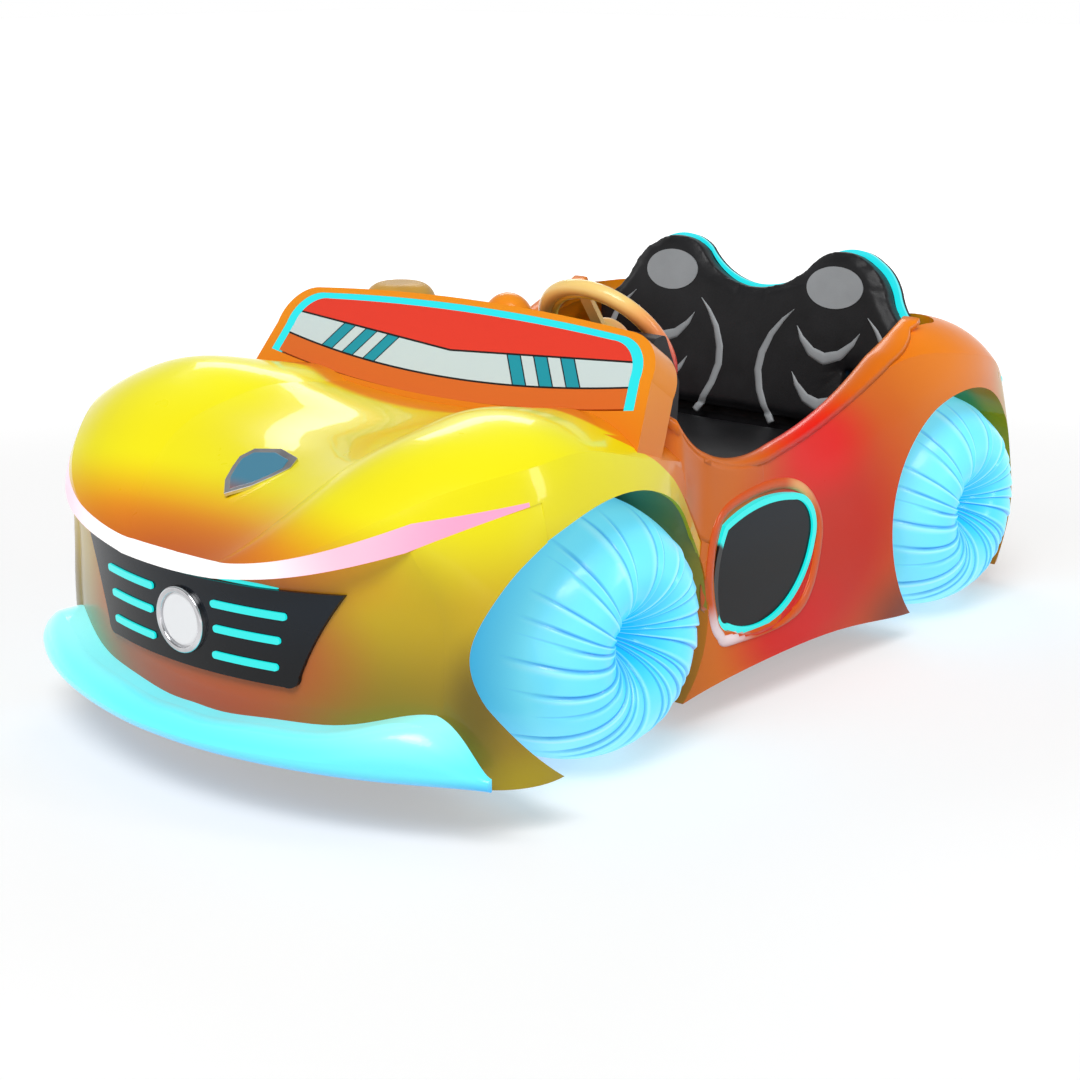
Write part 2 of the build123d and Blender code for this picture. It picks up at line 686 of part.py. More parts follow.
def seat_plan(inset=0, rear_gap=0):
    front_y, shoulder_y, rear_y = seat_front_y + inset, seat_shoulder_y - inset, back_foot_y - rear_gap
    wide, narrow = seat_half_width - inset, arch_half_width - inset
    with BuildSketch(Plane.XY.offset(cushion_bottom_z)) as plan:
        with BuildLine():
            Polyline((-wide, front_y), (wide, front_y), (wide, shoulder_y), (narrow, shoulder_y),
                     (narrow, rear_y), (-narrow, rear_y), (-narrow, shoulder_y), (-wide, shoulder_y), close=True)
        make_face()
    return plan.sketch


with BuildPart() as seat_cushion:
    add(seat_plan(rear_gap=8))
    extrude(amount=cushion_thickness)
    fillet(seat_cushion.edges().filter_by(Axis.Z), radius=cushion_radius)
    fillet(seat_cushion.edges().group_by(Axis.Z)[-1], radius=cushion_radius - 4)
seat_cushion.part.label = "seat_cushion"
export_step(seat_cushion.part, "parts/seat_cushion.step")

seat_base_height = cushion_bottom_z - floor_z - floor_thickness
with BuildPart() as seat_base:
    add(seat_plan(seat_base_inset, 20))
    extrude(amount=-seat_base_height)
    with BuildPart(mode=Mode.PRIVATE) as base_room:
        add(seat_plan(seat_base_inset + wall, 20 + wall))
        extrude(amount=-seat_base_height)
    add(base_room.part.moved(Location((0, 0, -wall))), mode=Mode.SUBTRACT)
seat_base.part.label = "seat_base"
export_step(seat_base.part, "parts/seat_base.step")

back_plane = Plane(origin=(0, back_foot_y, back_foot_z), x_dir=(1, 0, 0),
                   z_dir=(0, -cos(radians(back_lean)), sin(radians(back_lean))))
back_half_width = 430
back_shoulder = (450, 236)
back_notch = 134              # the back is narrow below the wheel arches
pad_thickness = 42
strip_thickness = 10
shell_thickness = 62
back_foot_half_width = 256    # plate that carries the back from the floor


# Right half of the top edge: arcs from shoulder to head and down to the valley, in the back's plane
back_top = [back_shoulder, (402, 265), (364, 317), (338, 362), (300, 392), (240, 412), (160, 386), (0, 312)]


def back_outline(inset=0):
    """Front view of the double seat back in its own plane."""
    w, n = back_half_width - inset, arch_half_width - inset
    top = [(x - inset * x / back_half_width, v - inset) for x, v in back_top]
    far = [(-x, v) for x, v in top]
    with BuildSketch(back_plane) as outline:
        with BuildLine():
            Polyline((-n, 0), (n, 0), (n, back_notch), (w, back_notch), top[0])
            for first in (0, 2, 4):
                bow(top[first], top[first + 1], top[first + 2])
                bow(far[first + 2], far[first + 1], far[first])
            bow(top[6], top[7], far[6])
            Polyline(far[0], (-w, back_notch), (-n, back_notch), (-n, 0))
        make_face()
    return outline.sketch


with BuildPart() as seat_back:
    add(back_outline())
    extrude(amount=-pad_thickness, dir=back_plane.z_dir)
seat_back.part.label = "seat_back"
export_step(seat_back.part, "parts/seat_back.step")

strip_inset = 12
strip_low = 200
with BuildPart() as seat_light:
    add(back_outline())
    extrude(amount=-shell_thickness, dir=back_plane.z_dir)
    with BuildPart(mode=Mode.PRIVATE) as slab:
        with BuildSketch(back_plane.offset(-pad_thickness)):
            with Locations((0, strip_low + 300)):
                Rectangle(1200, 600)
        extrude(amount=-strip_thickness)
    add(slab.part, mode=Mode.INTERSECT)
    add(back_outline(strip_inset))
    extrude(amount=-shell_thickness, dir=back_plane.z_dir, mode=Mode.SUBTRACT)
seat_light.part.label = "seat_light"
export_step(seat_light.part, "parts/seat_light.step")

with BuildPart() as seat_back_shell:
    add(back_outline())
    extrude(amount=-shell_thickness, dir=back_plane.z_dir)
    with BuildPart(mode=Mode.PRIVATE) as pad_room:
        with BuildSketch(back_plane):
            with Locations((0, 300)):
                Rectangle(1200, 700)
        extrude(amount=-pad_thickness)
    add([pad_room.part, seat_light.part], mode=Mode.SUBTRACT)
    with Locations((0, 678, (floor_z + floor_thickness + 403) / 2)):
        Box(2 * back_foot_half_width, 12, 403 - floor_z - floor_thickness)
seat_back_shell.part.label = "seat_back_shell"
export_step(seat_back_shell.part, "parts/seat_back_shell.step")

headrest = (225, 320)
with BuildPart() as headrests:
    with BuildSketch(back_plane):
        with Locations((-headrest[0], headrest[1]), headrest):
            Ellipse(73, 47)
    extrude(amount=10)
headrests.part.label = "headrests"
export_step(headrests.part, "parts/headrests.step")
print("seat", [len(p.part.solids()) for p in (seat_cushion, seat_base, seat_back, seat_light, seat_back_shell)])

# 10. Frame, floor, axles and the heavy masses
cross_height = 28
cross_width = 40
cross_bottom_z = rail_bottom_z - cross_height
cross_members = [-80, 170, 420]
jack_pad = (100, 40, 8)       # lowest face, under the middle cross member
tow_bolt_radius = 5.5
tow_bolt_span_x = 200
tow_bolt_span_y = 24
with BuildPart() as frame:
    for side in (1, -1):
        with Locations((side * rail_x, (rail_front_y + rail_rear_y) / 2, rail_bottom_z + rail_height / 2)):
            Box(rail_width, rail_rear_y - rail_front_y, rail_height)
    for y in cross_members:
        with Locations((0, y, cross_bottom_z + cross_height / 2)):
            Box(2 * belly_half_width, cross_width, cross_height)
    with Locations((0, cross_members[1], cross_bottom_z - jack_pad[2] / 2)):
        Box(*jack_pad)
    for y in (rail_front_y + rail_width / 2, rail_rear_y - rail_width / 2):
        with Locations((0, y, rail_bottom_z + rail_height / 2)):
            Box(2 * rail_x, rail_width, rail_height)
    with Locations((0, rail_rear_y - rail_width / 2, rail_bottom_z + rail_height / 2)):
        with GridLocations(tow_bolt_span_x, tow_bolt_span_y, 2, 2):
            Cylinder(tow_bolt_radius, 2 * rail_height, mode=Mode.SUBTRACT)
frame.part.label = "frame"
export_step(frame.part, "parts/frame.step")

floor_rear_y = 690
with BuildPart() as floor_pan:
    with Locations((0, (nose_split_y + floor_rear_y) / 2, floor_z + floor_thickness / 2)):
        Box(2 * 452, floor_rear_y - nose_split_y, floor_thickness)
    for side in (1, -1):
        with Locations((side * (arch_half_width + 100), (458 + floor_rear_y) / 2, floor_z + floor_thickness / 2)):
            Box(200, floor_rear_y - 440, 3 * floor_thickness, mode=Mode.SUBTRACT)
    add(main_shell.part, mode=Mode.SUBTRACT)
floor_pan.part.label = "floor_pan"
export_step(floor_pan.part, "parts/floor_pan.step")

# Footwell between the front wheels, closed towards the nose
footwell_half_width = 206
footwell_front_y = -326
footwell_top_z = 520
bulkhead_half_width = 418
with BuildPart() as footwell:
    with Locations((0, (nose_split_y + footwell_front_y) / 2, (floor_z + footwell_top_z) / 2)):
        Box(2 * footwell_half_width, nose_split_y - footwell_front_y, footwell_top_z - floor_z)
    with Locations((0, (nose_split_y + footwell_front_y) / 2 + floor_thickness,
                    (floor_z + footwell_top_z) / 2)):
        Box(2 * (footwell_half_width - floor_thickness), nose_split_y - footwell_front_y,
            footwell_top_z - floor_z - 2 * floor_thickness, mode=Mode.SUBTRACT)
    for side in (1, -1):
        with Locations((side * (footwell_half_width - floor_thickness + bulkhead_half_width) / 2,
                        nose_split_y + floor_thickness / 2, (floor_z + floor_thickness + footwell_top_z) / 2)):
            Box(bulkhead_half_width - footwell_half_width + floor_thickness, floor_thickness,
                footwell_top_z - floor_z - floor_thickness)
footwell.part.label = "footwell"
export_step(footwell.part, "parts/footwell.step")

beam_end_x = kingpin_x - knuckle_radius - 6
bracket_width = 40
with BuildPart() as front_axle:
    with Locations((0, front_axle_y, wheel_radius)):
        Box(2 * beam_end_x, axle_beam_size, axle_beam_size)
    for side in (1, -1):
        with Locations((side * rail_x, front_axle_y, (floor_z + wheel_radius) / 2)):
            Box(bracket_width, axle_beam_size, wheel_radius - floor_z)
        yoke_height = knuckle_height + 2 * (yoke_gap + yoke_plate)
        with Locations((side * (beam_end_x - 6), front_axle_y, wheel_radius)):
            Box(12, axle_beam_size, yoke_height)
        for end in (1, -1):
            with Locations((side * (beam_end_x - 12 + kingpin_x) / 2, front_axle_y,
                            wheel_radius + end * (knuckle_height / 2 + yoke_gap + yoke_plate / 2))):
                Box(kingpin_x - beam_end_x + 12, axle_beam_size, yoke_plate)
            with Locations((side * kingpin_x, front_axle_y,
                            wheel_radius + end * (knuckle_height / 2 + yoke_gap + yoke_plate / 2))):
                Cylinder(knuckle_radius, yoke_plate)
        with Locations((side * kingpin_x, front_axle_y, wheel_radius)):
            Cylinder(kingpin_radius, yoke_height)
front_axle.part.label = "front_axle"
export_step(front_axle.part, "parts/front_axle.step")

hub_bore_depth = 70
stub_end_x = hub_inner_x + hub_bore_depth - 4
steer_arm_width = 34
steer_arm_z = wheel_radius - knuckle_height / 2 + steer_arm_height / 2
tie_rod_y = front_axle_y + steer_arm_length
pin_gap = 0.05
for side, word in ((1, "left"), (-1, "right")):
    with BuildPart() as knuckle:
        with Locations((side * kingpin_x, front_axle_y, wheel_radius)):
            Cylinder(knuckle_radius, knuckle_height)
        with BuildSketch(Plane.YZ.offset(side * kingpin_x)):
            with Locations((front_axle_y, wheel_radius)):
                Circle(stub_radius)
        extrude(amount=side * (stub_end_x - kingpin_x))
        with BuildSketch(Plane.YZ.offset(side * kingpin_x)):
            with Locations((front_axle_y, wheel_radius)):
                Circle(stub_radius + 8)
        extrude(amount=side * (hub_inner_x - 5 - kingpin_x))
        with BuildSketch(Plane.XY.offset(steer_arm_z - steer_arm_height / 2)):
            with Locations((side * kingpin_x, front_axle_y + steer_arm_length / 2)):
                Rectangle(steer_arm_width, steer_arm_length)
            with Locations((side * kingpin_x, tie_rod_y)):
                Circle(steer_arm_width / 2 + 2)
                Circle(tie_pin_radius + tie_pin_gap, mode=Mode.SUBTRACT)
        extrude(amount=steer_arm_height)
        with Locations((side * kingpin_x, front_axle_y, wheel_radius)):
            Cylinder(kingpin_radius + pin_gap, knuckle_height, mode=Mode.SUBTRACT)
    knuckle.part.label = "knuckle_" + word
    export_step(knuckle.part, "parts/" + knuckle.part.label + ".step")

tie_rod_z = steer_arm_z - steer_arm_height / 2 - 5 - tie_rod_radius
with BuildPart() as tie_rod:
    with BuildSketch(Plane.YZ.offset(-kingpin_x - tie_rod_radius)):
        with Locations((tie_rod_y, tie_rod_z)):
            Circle(tie_rod_radius)
    extrude(amount=2 * (kingpin_x + tie_rod_radius))
    for side in (1, -1):
        with Locations((side * kingpin_x, tie_rod_y, (tie_rod_z + steer_arm_z + steer_arm_height) / 2)):
            Cylinder(tie_pin_radius, steer_arm_z + steer_arm_height - tie_rod_z)
tie_rod.part.label = "tie_rod"
export_step(tie_rod.part, "parts/tie_rod.step")

rack_half_length = 90
rack_radius = 20
rack_foot = 20
with BuildPart() as steering_rack:
    with BuildSketch(Plane.YZ.offset(-rack_half_length)):
        with Locations((tie_rod_y, tie_rod_z)):
            Circle(rack_radius)
            Circle(tie_rod_radius + pin_gap, mode=Mode.SUBTRACT)
    extrude(amount=2 * rack_half_length)
    with Locations((0, tie_rod_y, floor_z + 4)):
        Box(2 * (rail_x + rail_width / 2), 30, 8)
    with Locations((0, tie_rod_y, (floor_z + 8 + tie_rod_z - rack_radius) / 2 + 2)):
        Box(2 * rack_half_length, 26, tie_rod_z - rack_radius - floor_z - 8 + 6)
steering_rack.part.label = "steering_rack"
export_step(steering_rack.part, "parts/steering_rack.step")

motor_half_width = 95
motor_size = 170
rear_tube_radius = 25
rear_tube_end_x = hub_inner_x - 22
with BuildPart() as drive_motor:
    with Locations((0, rear_axle_y, wheel_radius)):
        Box(2 * motor_half_width, motor_size, motor_size)
    fillet(drive_motor.edges().filter_by(Axis.X), radius=24)
drive_motor.part.label = "drive_motor"
export_step(drive_motor.part, "parts/drive_motor.step")

with BuildPart() as rear_axle:
    for side in (1, -1):
        for start, end, radius in ((motor_half_width, rear_tube_end_x, rear_tube_radius),
                                   (rear_tube_end_x, stub_end_x, stub_radius)):
            with BuildSketch(Plane.YZ.offset(side * start)):
                with Locations((rear_axle_y, wheel_radius)):
                    Circle(radius)
            extrude(amount=side * (end - start))
        with Locations((side * rail_x, rear_axle_y, (floor_z + wheel_radius) / 2)):
            Box(bracket_width, axle_beam_size + 20, wheel_radius - floor_z)
rear_axle.part.label = "rear_axle"
export_step(rear_axle.part, "parts/rear_axle.step")

battery_size = (360, 260, 110)
with BuildPart() as battery:
    with Locations((0, 380, floor_z + floor_thickness + battery_size[2] / 2)):
        Box(*battery_size)
    fillet(battery.edges().filter_by(Axis.Z), radius=8)
battery.part.label = "battery"
export_step(battery.part, "parts/battery.step")
print("frame", [len(p.part.solids()) for p in (frame, floor_pan, footwell, front_axle, tie_rod, steering_rack,
                                               rear_axle)])

# 11. Wheels: fat closed-in tyres round a drum hub
for side, side_word in ((1, "left"), (-1, "right")):
    for axle_y, axle_word in ((front_axle_y, "front"), (rear_axle_y, "rear")):
        name = axle_word + "_" + side_word
        ring, tube = tyre_ring_radius, wheel_radius - tyre_ring_radius
        outer, inner, plane_x = tyre_outer_bulge, tyre_inner_bulge, tyre_plane_x
        with BuildPart() as tyre:
            with BuildSketch(Plane.XY) as section_sketch:
                with BuildLine():
                    EllipticalCenterArc((plane_x, ring), inner, tube, start_angle=90, arc_size=90)
                    EllipticalCenterArc((plane_x, ring), outer, tube, start_angle=0, arc_size=90)
                    lip = EllipticalCenterArc((plane_x, ring), outer, tube, start_angle=dimple_angle,
                                               arc_size=360 - dimple_angle)
                    Polyline(lip @ 0, (hub_outer_x, (lip @ 0).Y), (hub_outer_x, hub_radius),
                             (plane_x - inner, hub_radius), (plane_x - inner, ring))
                make_face()
            revolve(axis=Axis.X)
        placed = tyre.part.mirror(Plane.YZ) if side < 0 else tyre.part
        tyre_part = placed.moved(Location((0, axle_y, wheel_radius)))
        tyre_part.label = "tyre_" + name
        export_step(tyre_part, "parts/tyre_" + name + ".step")
        with BuildPart() as hub:
            with BuildSketch(Plane.YZ.offset(hub_inner_x)):
                Circle(hub_radius)
            extrude(amount=hub_outer_x - hub_inner_x)
            with BuildSketch(Plane.YZ.offset(hub_inner_x)):
                Circle(stub_radius + stub_gap)
            extrude(amount=hub_bore_depth, mode=Mode.SUBTRACT)
            fillet(hub.edges().filter_by(GeomType.CIRCLE).group_by(Axis.X)[0].sort_by(SortBy.RADIUS)[-1:],
                   radius=6)
        placed = hub.part.mirror(Plane.YZ) if side < 0 else hub.part
        hub_part = placed.moved(Location((0, axle_y, wheel_radius)))
        hub_part.label = "hub_" + name
        export_step(hub_part, "parts/hub_" + name + ".step")
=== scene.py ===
import random
from math import atan2, cos, hypot, pi, radians, sin

import bmesh
import bpy
from mathutils import Matrix, Vector
from mathutils.bvhtree import BVHTree


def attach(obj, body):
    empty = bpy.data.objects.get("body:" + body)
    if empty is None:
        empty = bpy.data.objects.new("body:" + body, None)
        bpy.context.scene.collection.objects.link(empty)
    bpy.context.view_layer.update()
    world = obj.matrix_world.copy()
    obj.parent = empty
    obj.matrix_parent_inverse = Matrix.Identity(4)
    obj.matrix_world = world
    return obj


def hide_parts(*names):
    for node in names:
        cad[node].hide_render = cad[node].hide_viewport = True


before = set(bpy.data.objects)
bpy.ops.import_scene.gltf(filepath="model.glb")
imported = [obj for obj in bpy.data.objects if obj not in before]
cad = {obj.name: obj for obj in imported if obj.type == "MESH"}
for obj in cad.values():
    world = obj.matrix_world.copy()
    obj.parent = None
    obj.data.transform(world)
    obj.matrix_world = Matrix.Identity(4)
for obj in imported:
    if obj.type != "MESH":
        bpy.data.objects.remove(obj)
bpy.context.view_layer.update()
print("frame loaded:", len(cad), "nodes")

sides = ((1, "left"), (-1, "right"))
rayStart = {"side": 0.8, "above": 1.0, "front": -1.3}  # clear of the car


# Small helpers for meshes
def addToScene(name, data):
    made = bpy.data.objects.new(name, data)
    bpy.context.scene.collection.objects.link(made)
    return made


def meshObject(name, bm):
    mesh = bpy.data.meshes.new(name)
    bm.to_mesh(mesh)
    bm.free()
    return addToScene(name, mesh)


def makeObject(name, bm, material, body="chassis", smooth=True):
    bmesh.ops.recalc_face_normals(bm, faces=bm.faces)
    for face in bm.faces:
        face.smooth = smooth
    made = meshObject(name, bm)
    made.data.materials.append(material)
    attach(made, body)
    return made


def makeBlob(name, centre, settings, material):
    bm = bmesh.new()
    bmesh.ops.create_uvsphere(bm, u_segments=settings["segments"], v_segments=settings["rings"], radius=1.0)
    bmesh.ops.scale(bm, vec=settings["size"], verts=bm.verts)
    bmesh.ops.translate(bm, vec=centre, verts=bm.verts)
    makeObject(name, bm, material)


def surfaceOf(*objects):  # search tree over the faces of some objects
    verts, faces = [], []
    for obj in objects:
        base = len(verts)
        verts += [v.co.copy() for v in obj.data.vertices]
        faces += [[base + i for i in p.vertices] for p in obj.data.polygons]
    return BVHTree.FromPolygons(verts, faces)


def castSide(tree, side, y, z):  # where a level ray from beside the car lands
    return tree.ray_cast(Vector((side * rayStart["side"], y, z)), Vector((-side, 0, 0)))[0]


def castDown(tree, x, y):
    return tree.ray_cast(Vector((x, y, rayStart["above"])), Vector((0, 0, -1)))[0]


def sweep(bm, path, ring, closed=False):  # ring(i) gives the points round place i of the path
    rings = [[bm.verts.new(p) for p in ring(i)] for i in range(len(path))]
    pairs = list(zip(rings, rings[1:])) + ([(rings[-1], rings[0])] if closed else [])
    for a, b in pairs:
        for i in range(len(a)):
            bm.faces.new((a[i], a[(i + 1) % len(a)], b[(i + 1) % len(a)], b[i]))
    if not closed:
        bm.faces.new(rings[0][::-1])
        bm.faces.new(rings[-1])


def makeSwept(name, path, ring, material, closed=False):
    bm = bmesh.new()
    sweep(bm, path, ring, closed)
    makeObject(name, bm, material)


def neighbours(line, index):  # points before and after one point of an open line
    return line[max(0, index - 1)], line[min(len(line) - 1, index + 1)]


def outward(line, index):  # direction square to a line of (y, z) points
    before, after = neighbours(line, index)
    return Vector((0, -(after[1] - before[1]), after[0] - before[0])).normalized()


def vertsOf(geometry):
    return [v for v in geometry if isinstance(v, bmesh.types.BMVert)]


def clamp(value):
    return max(0, min(1, value))


def srgb(r, g, b):  # 8-bit colour as linear values
    out = []
    for v in (r, g, b):
        v = v / 255
        out.append(v / 12.92 if v <= 0.04045 else ((v + 0.055) / 1.055) ** 2.4)
    return (*out, 1)


# Helpers for shader nodes
black = (0, 0, 0, 1)


def feed(tree, value, socket):  # a number or colour is set on the socket, an output is linked to it
    if isinstance(value, bpy.types.NodeSocket):
        tree.links.new(value, socket)
    else:
        socket.default_value = value


def mathNode(tree, operation, *values, kind="ShaderNodeMath", output="Value"):
    node = tree.nodes.new(kind)
    node.operation = operation
    for value, socket in zip(values, node.inputs):
        feed(tree, value, socket)
    return node.outputs[output]


def vectorNode(tree, operation, *values, output="Vector"):
    return mathNode(tree, operation, *values, kind="ShaderNodeVectorMath", output=output)


def mixColour(tree, factor, first, second):
    mix = tree.nodes.new("ShaderNodeMix")
    mix.data_type = "RGBA"
    for label, value in (("Factor", factor), ("A", first), ("B", second)):
        feed(tree, value, mix.inputs[label])
    return mix.outputs["Result"]


def step(tree, value, low, high):  # 0 below low and 1 above high
    ramp = tree.nodes.new("ShaderNodeMapRange")
    ramp.interpolation_type = "SMOOTHSTEP"
    for label, number in (("Value", value), ("From Min", low), ("From Max", high)):
        feed(tree, number, ramp.inputs[label])
    return ramp.outputs["Result"]


def objectPlace(tree):
    return tree.nodes.new("ShaderNodeTexCoord").outputs["Object"]


def split(tree, vector):
    parts = tree.nodes.new("ShaderNodeSeparateXYZ")
    tree.links.new(vector, parts.inputs[0])
    return parts.outputs


def mirroredPlace(tree):  # x made positive, so that both sides of the car match
    parts = split(tree, objectPlace(tree))
    joined = tree.nodes.new("ShaderNodeCombineXYZ")
    tree.links.new(mathNode(tree, "ABSOLUTE", parts["X"]), joined.inputs["X"])
    tree.links.new(parts["Y"], joined.inputs["Y"])
    tree.links.new(parts["Z"], joined.inputs["Z"])
    return joined.outputs[0]


def noise(tree, scale, detail):
    node = tree.nodes.new("ShaderNodeTexNoise")
    tree.links.new(objectPlace(tree), node.inputs["Vector"])
    feed(tree, scale, node.inputs["Scale"])
    node.inputs["Detail"].default_value = detail
    return node.outputs["Fac"]


def attribute(tree, name):
    node = tree.nodes.new("ShaderNodeAttribute")
    node.attribute_name = name
    return node.outputs["Fac"]


def seenDirectly(tree):  # 1 for rays from the camera, off gloss and through clear parts
    rays = tree.nodes.new("ShaderNodeLightPath").outputs
    indirect = mathNode(tree, "MAXIMUM", rays["Is Glossy Ray"], rays["Is Transmission Ray"])
    return mathNode(tree, "MAXIMUM", rays["Is Camera Ray"], indirect)


# Node groups
def newGroup(name, inputs, outputs):
    group = bpy.data.node_groups.new(name, "ShaderNodeTree")
    for way, sockets in (("INPUT", inputs), ("OUTPUT", outputs)):
        for label, kind in sockets.items():
            group.interface.new_socket(label, in_out=way, socket_type="NodeSocket" + kind)
    return group, group.nodes.new("NodeGroupInput").outputs, group.nodes.new("NodeGroupOutput").inputs


def makeSoftPatch():
    group, given, result = newGroup("softPatch", {
        "Colour": "Color", "Patch": "Color", "Centre": "Vector", "Size": "Vector", "Edge": "Float",
        "Strength": "Float"}, {"Colour": "Color"})
    away = vectorNode(group, "SUBTRACT", mirroredPlace(group), given["Centre"])
    scaled = vectorNode(group, "DIVIDE", away, given["Size"])
    length = vectorNode(group, "LENGTH", scaled, output="Value")
    strength = mathNode(group, "MULTIPLY", step(group, length, 1, given["Edge"]), given["Strength"])
    group.links.new(mixColour(group, strength, given["Colour"], given["Patch"]), result["Colour"])
    return group


def makeFade():
    group, given, result = newGroup("fade", {
        "Colour": "Color", "Beyond": "Color", "Along": "Vector", "From": "Float", "To": "Float"},
        {"Colour": "Color"})
    along = vectorNode(group, "DOT_PRODUCT", mirroredPlace(group), given["Along"], output="Value")
    share = step(group, along, given["From"], given["To"])
    group.links.new(mixColour(group, share, given["Colour"], given["Beyond"]), result["Colour"])
    return group


def makeGrain():  # uneven gloss and fine relief of a moulded or sprayed surface
    group, given, result = newGroup("grain", {"Scale": "Float", "Gloss": "Float", "Spread": "Float"},
                                    {"Height": "Float", "Roughness": "Float"})
    group.links.new(noise(group, given["Scale"], detail=3), result["Height"])
    broad = noise(group, 9, detail=4)
    rough = mathNode(group, "MULTIPLY_ADD", broad, given["Spread"], given["Gloss"])
    group.links.new(rough, result["Roughness"])
    return group


softPatchGroup = makeSoftPatch()
fadeGroup = makeFade()
grainGroup = makeGrain()


# Kinds of material
def blankMaterial(name):
    material = bpy.data.materials.new(name)
    material.use_nodes = True
    return material, material.node_tree, material.node_tree.nodes["Principled BSDF"]


def placeGroup(tree, group, **values):
    node = tree.nodes.new("ShaderNodeGroup")
    node.node_tree = group
    for key, value in values.items():
        feed(tree, value, node.inputs[key])
    return node.outputs


def addGrain(tree, shader, scale, gloss, spread, depth):
    grain = placeGroup(tree, grainGroup, Scale=scale, Gloss=gloss, Spread=spread)
    bump = tree.nodes.new("ShaderNodeBump")
    bump.inputs["Distance"].default_value = depth
    tree.links.new(grain["Height"], bump.inputs["Height"])
    tree.links.new(bump.outputs["Normal"], shader.inputs["Normal"])
    tree.links.new(grain["Roughness"], shader.inputs["Roughness"])


def lacquer(shader, weight, rough, specular=0.5):
    shader.inputs["Coat Weight"].default_value = weight
    shader.inputs["Coat Roughness"].default_value = rough
    shader.inputs["Specular IOR Level"].default_value = specular


def lightUp(tree, shader, colour, dark, glow):  # glows in a colour and reflects a darker one
    tree.links.new(mixColour(tree, dark, colour, black), shader.inputs["Base Color"])
    tree.links.new(colour, shader.inputs["Emission Color"])
    shader.inputs["Emission Strength"].default_value = glow


def sprayTonesAndPaintedLight(tree, base, paintAndPaintedLight):  # base colour under soft patches and fades: tones of the paint, and in some parts painted shade, painted highlights and painted glow
    rgb = tree.nodes.new("ShaderNodeRGB")
    rgb.outputs[0].default_value = srgb(*base)
    colour = rgb.outputs[0]
    for kind, tint, *shape in paintAndPaintedLight:
        tint = srgb(*tint)
        if kind == "patch":
            centre, size, edge, strength = shape
            coat = placeGroup(tree, softPatchGroup, Colour=colour, Patch=tint, Centre=centre, Size=size,
                              Edge=edge, Strength=strength)
        else:
            along, low, high = shape
            coat = placeGroup(tree, fadeGroup, Colour=colour, Beyond=tint, Along=along, From=low, To=high)
        colour = coat["Colour"]
    return colour


def gelcoat(name, base, paintAndPaintedLight, rough=0.25, coat=0.4):  # glossy sprayed shell under clear lacquer
    material, tree, shader = blankMaterial(name)
    tree.links.new(sprayTonesAndPaintedLight(tree, base, paintAndPaintedLight), shader.inputs["Base Color"])
    addGrain(tree, shader, scale=90, gloss=rough, spread=0.08, depth=0.00005)
    lacquer(shader, weight=coat, rough=0.04, specular=0.2)
    return material


def litPlastic(name, base, paintAndPaintedLight, glow, dim):  # moulding lit from inside, in its sprayed colour with any painted highlight or painted shade laid on
    material, tree, shader = blankMaterial(name)
    lightUp(tree, shader, sprayTonesAndPaintedLight(tree, base, paintAndPaintedLight), 1 - dim, glow)
    addGrain(tree, shader, scale=60, gloss=0.25, spread=0.1, depth=0.00006)
    lacquer(shader, weight=0.4, rough=0.06)
    return material


def plainPlastic(name, base, scale=700, gloss=0.45, spread=0.15, depth=0.0003, tone=0.25, metallic=0.0):
    material, tree, shader = blankMaterial(name)
    ramp = tree.nodes.new("ShaderNodeValToRGB")
    for element, place, factor in zip(ramp.color_ramp.elements, (0.3, 0.7), (1 - tone, 1 + tone)):
        element.position = place
        element.color = tuple(min(1, v * factor) for v in srgb(*base)[:3]) + (1,)
    tree.links.new(noise(tree, 14, detail=5), ramp.inputs["Fac"])
    tree.links.new(ramp.outputs["Color"], shader.inputs["Base Color"])
    shader.inputs["Metallic"].default_value = metallic
    shader.inputs["Specular IOR Level"].default_value = 0.5 if metallic else 0.25
    addGrain(tree, shader, scale, gloss, spread, depth)
    return material


# Windscreen print: orange, pale and red bands with outlines, and slanted bars in the pale one
screenArt = {
    "upY": 0.5505, "footY": 0.213, "upZ": 0.8348, "footZ": -0.5159,
    "paleFrom": 0.042, "paleBow": 0.2, "redFrom": 0.098, "redSlope": 0.075, "edge": 0.0004,
    "barSlope": 0.7, "barsPerMetre": 15, "bar": (0.235, 0.215), "barLine": (0.285, 0.265),
    "barsFrom": (0.1995, 0.2005), "barsTo": (0.4005, 0.3995), "outline": (0.0024, 0.0016),
    "red": (232, 60, 41), "pale": (205, 221, 225), "orange": (222, 108, 34), "barColour": (28, 152, 172),
    "barLineColour": (20, 30, 36), "outlineColour": (22, 18, 16),
}


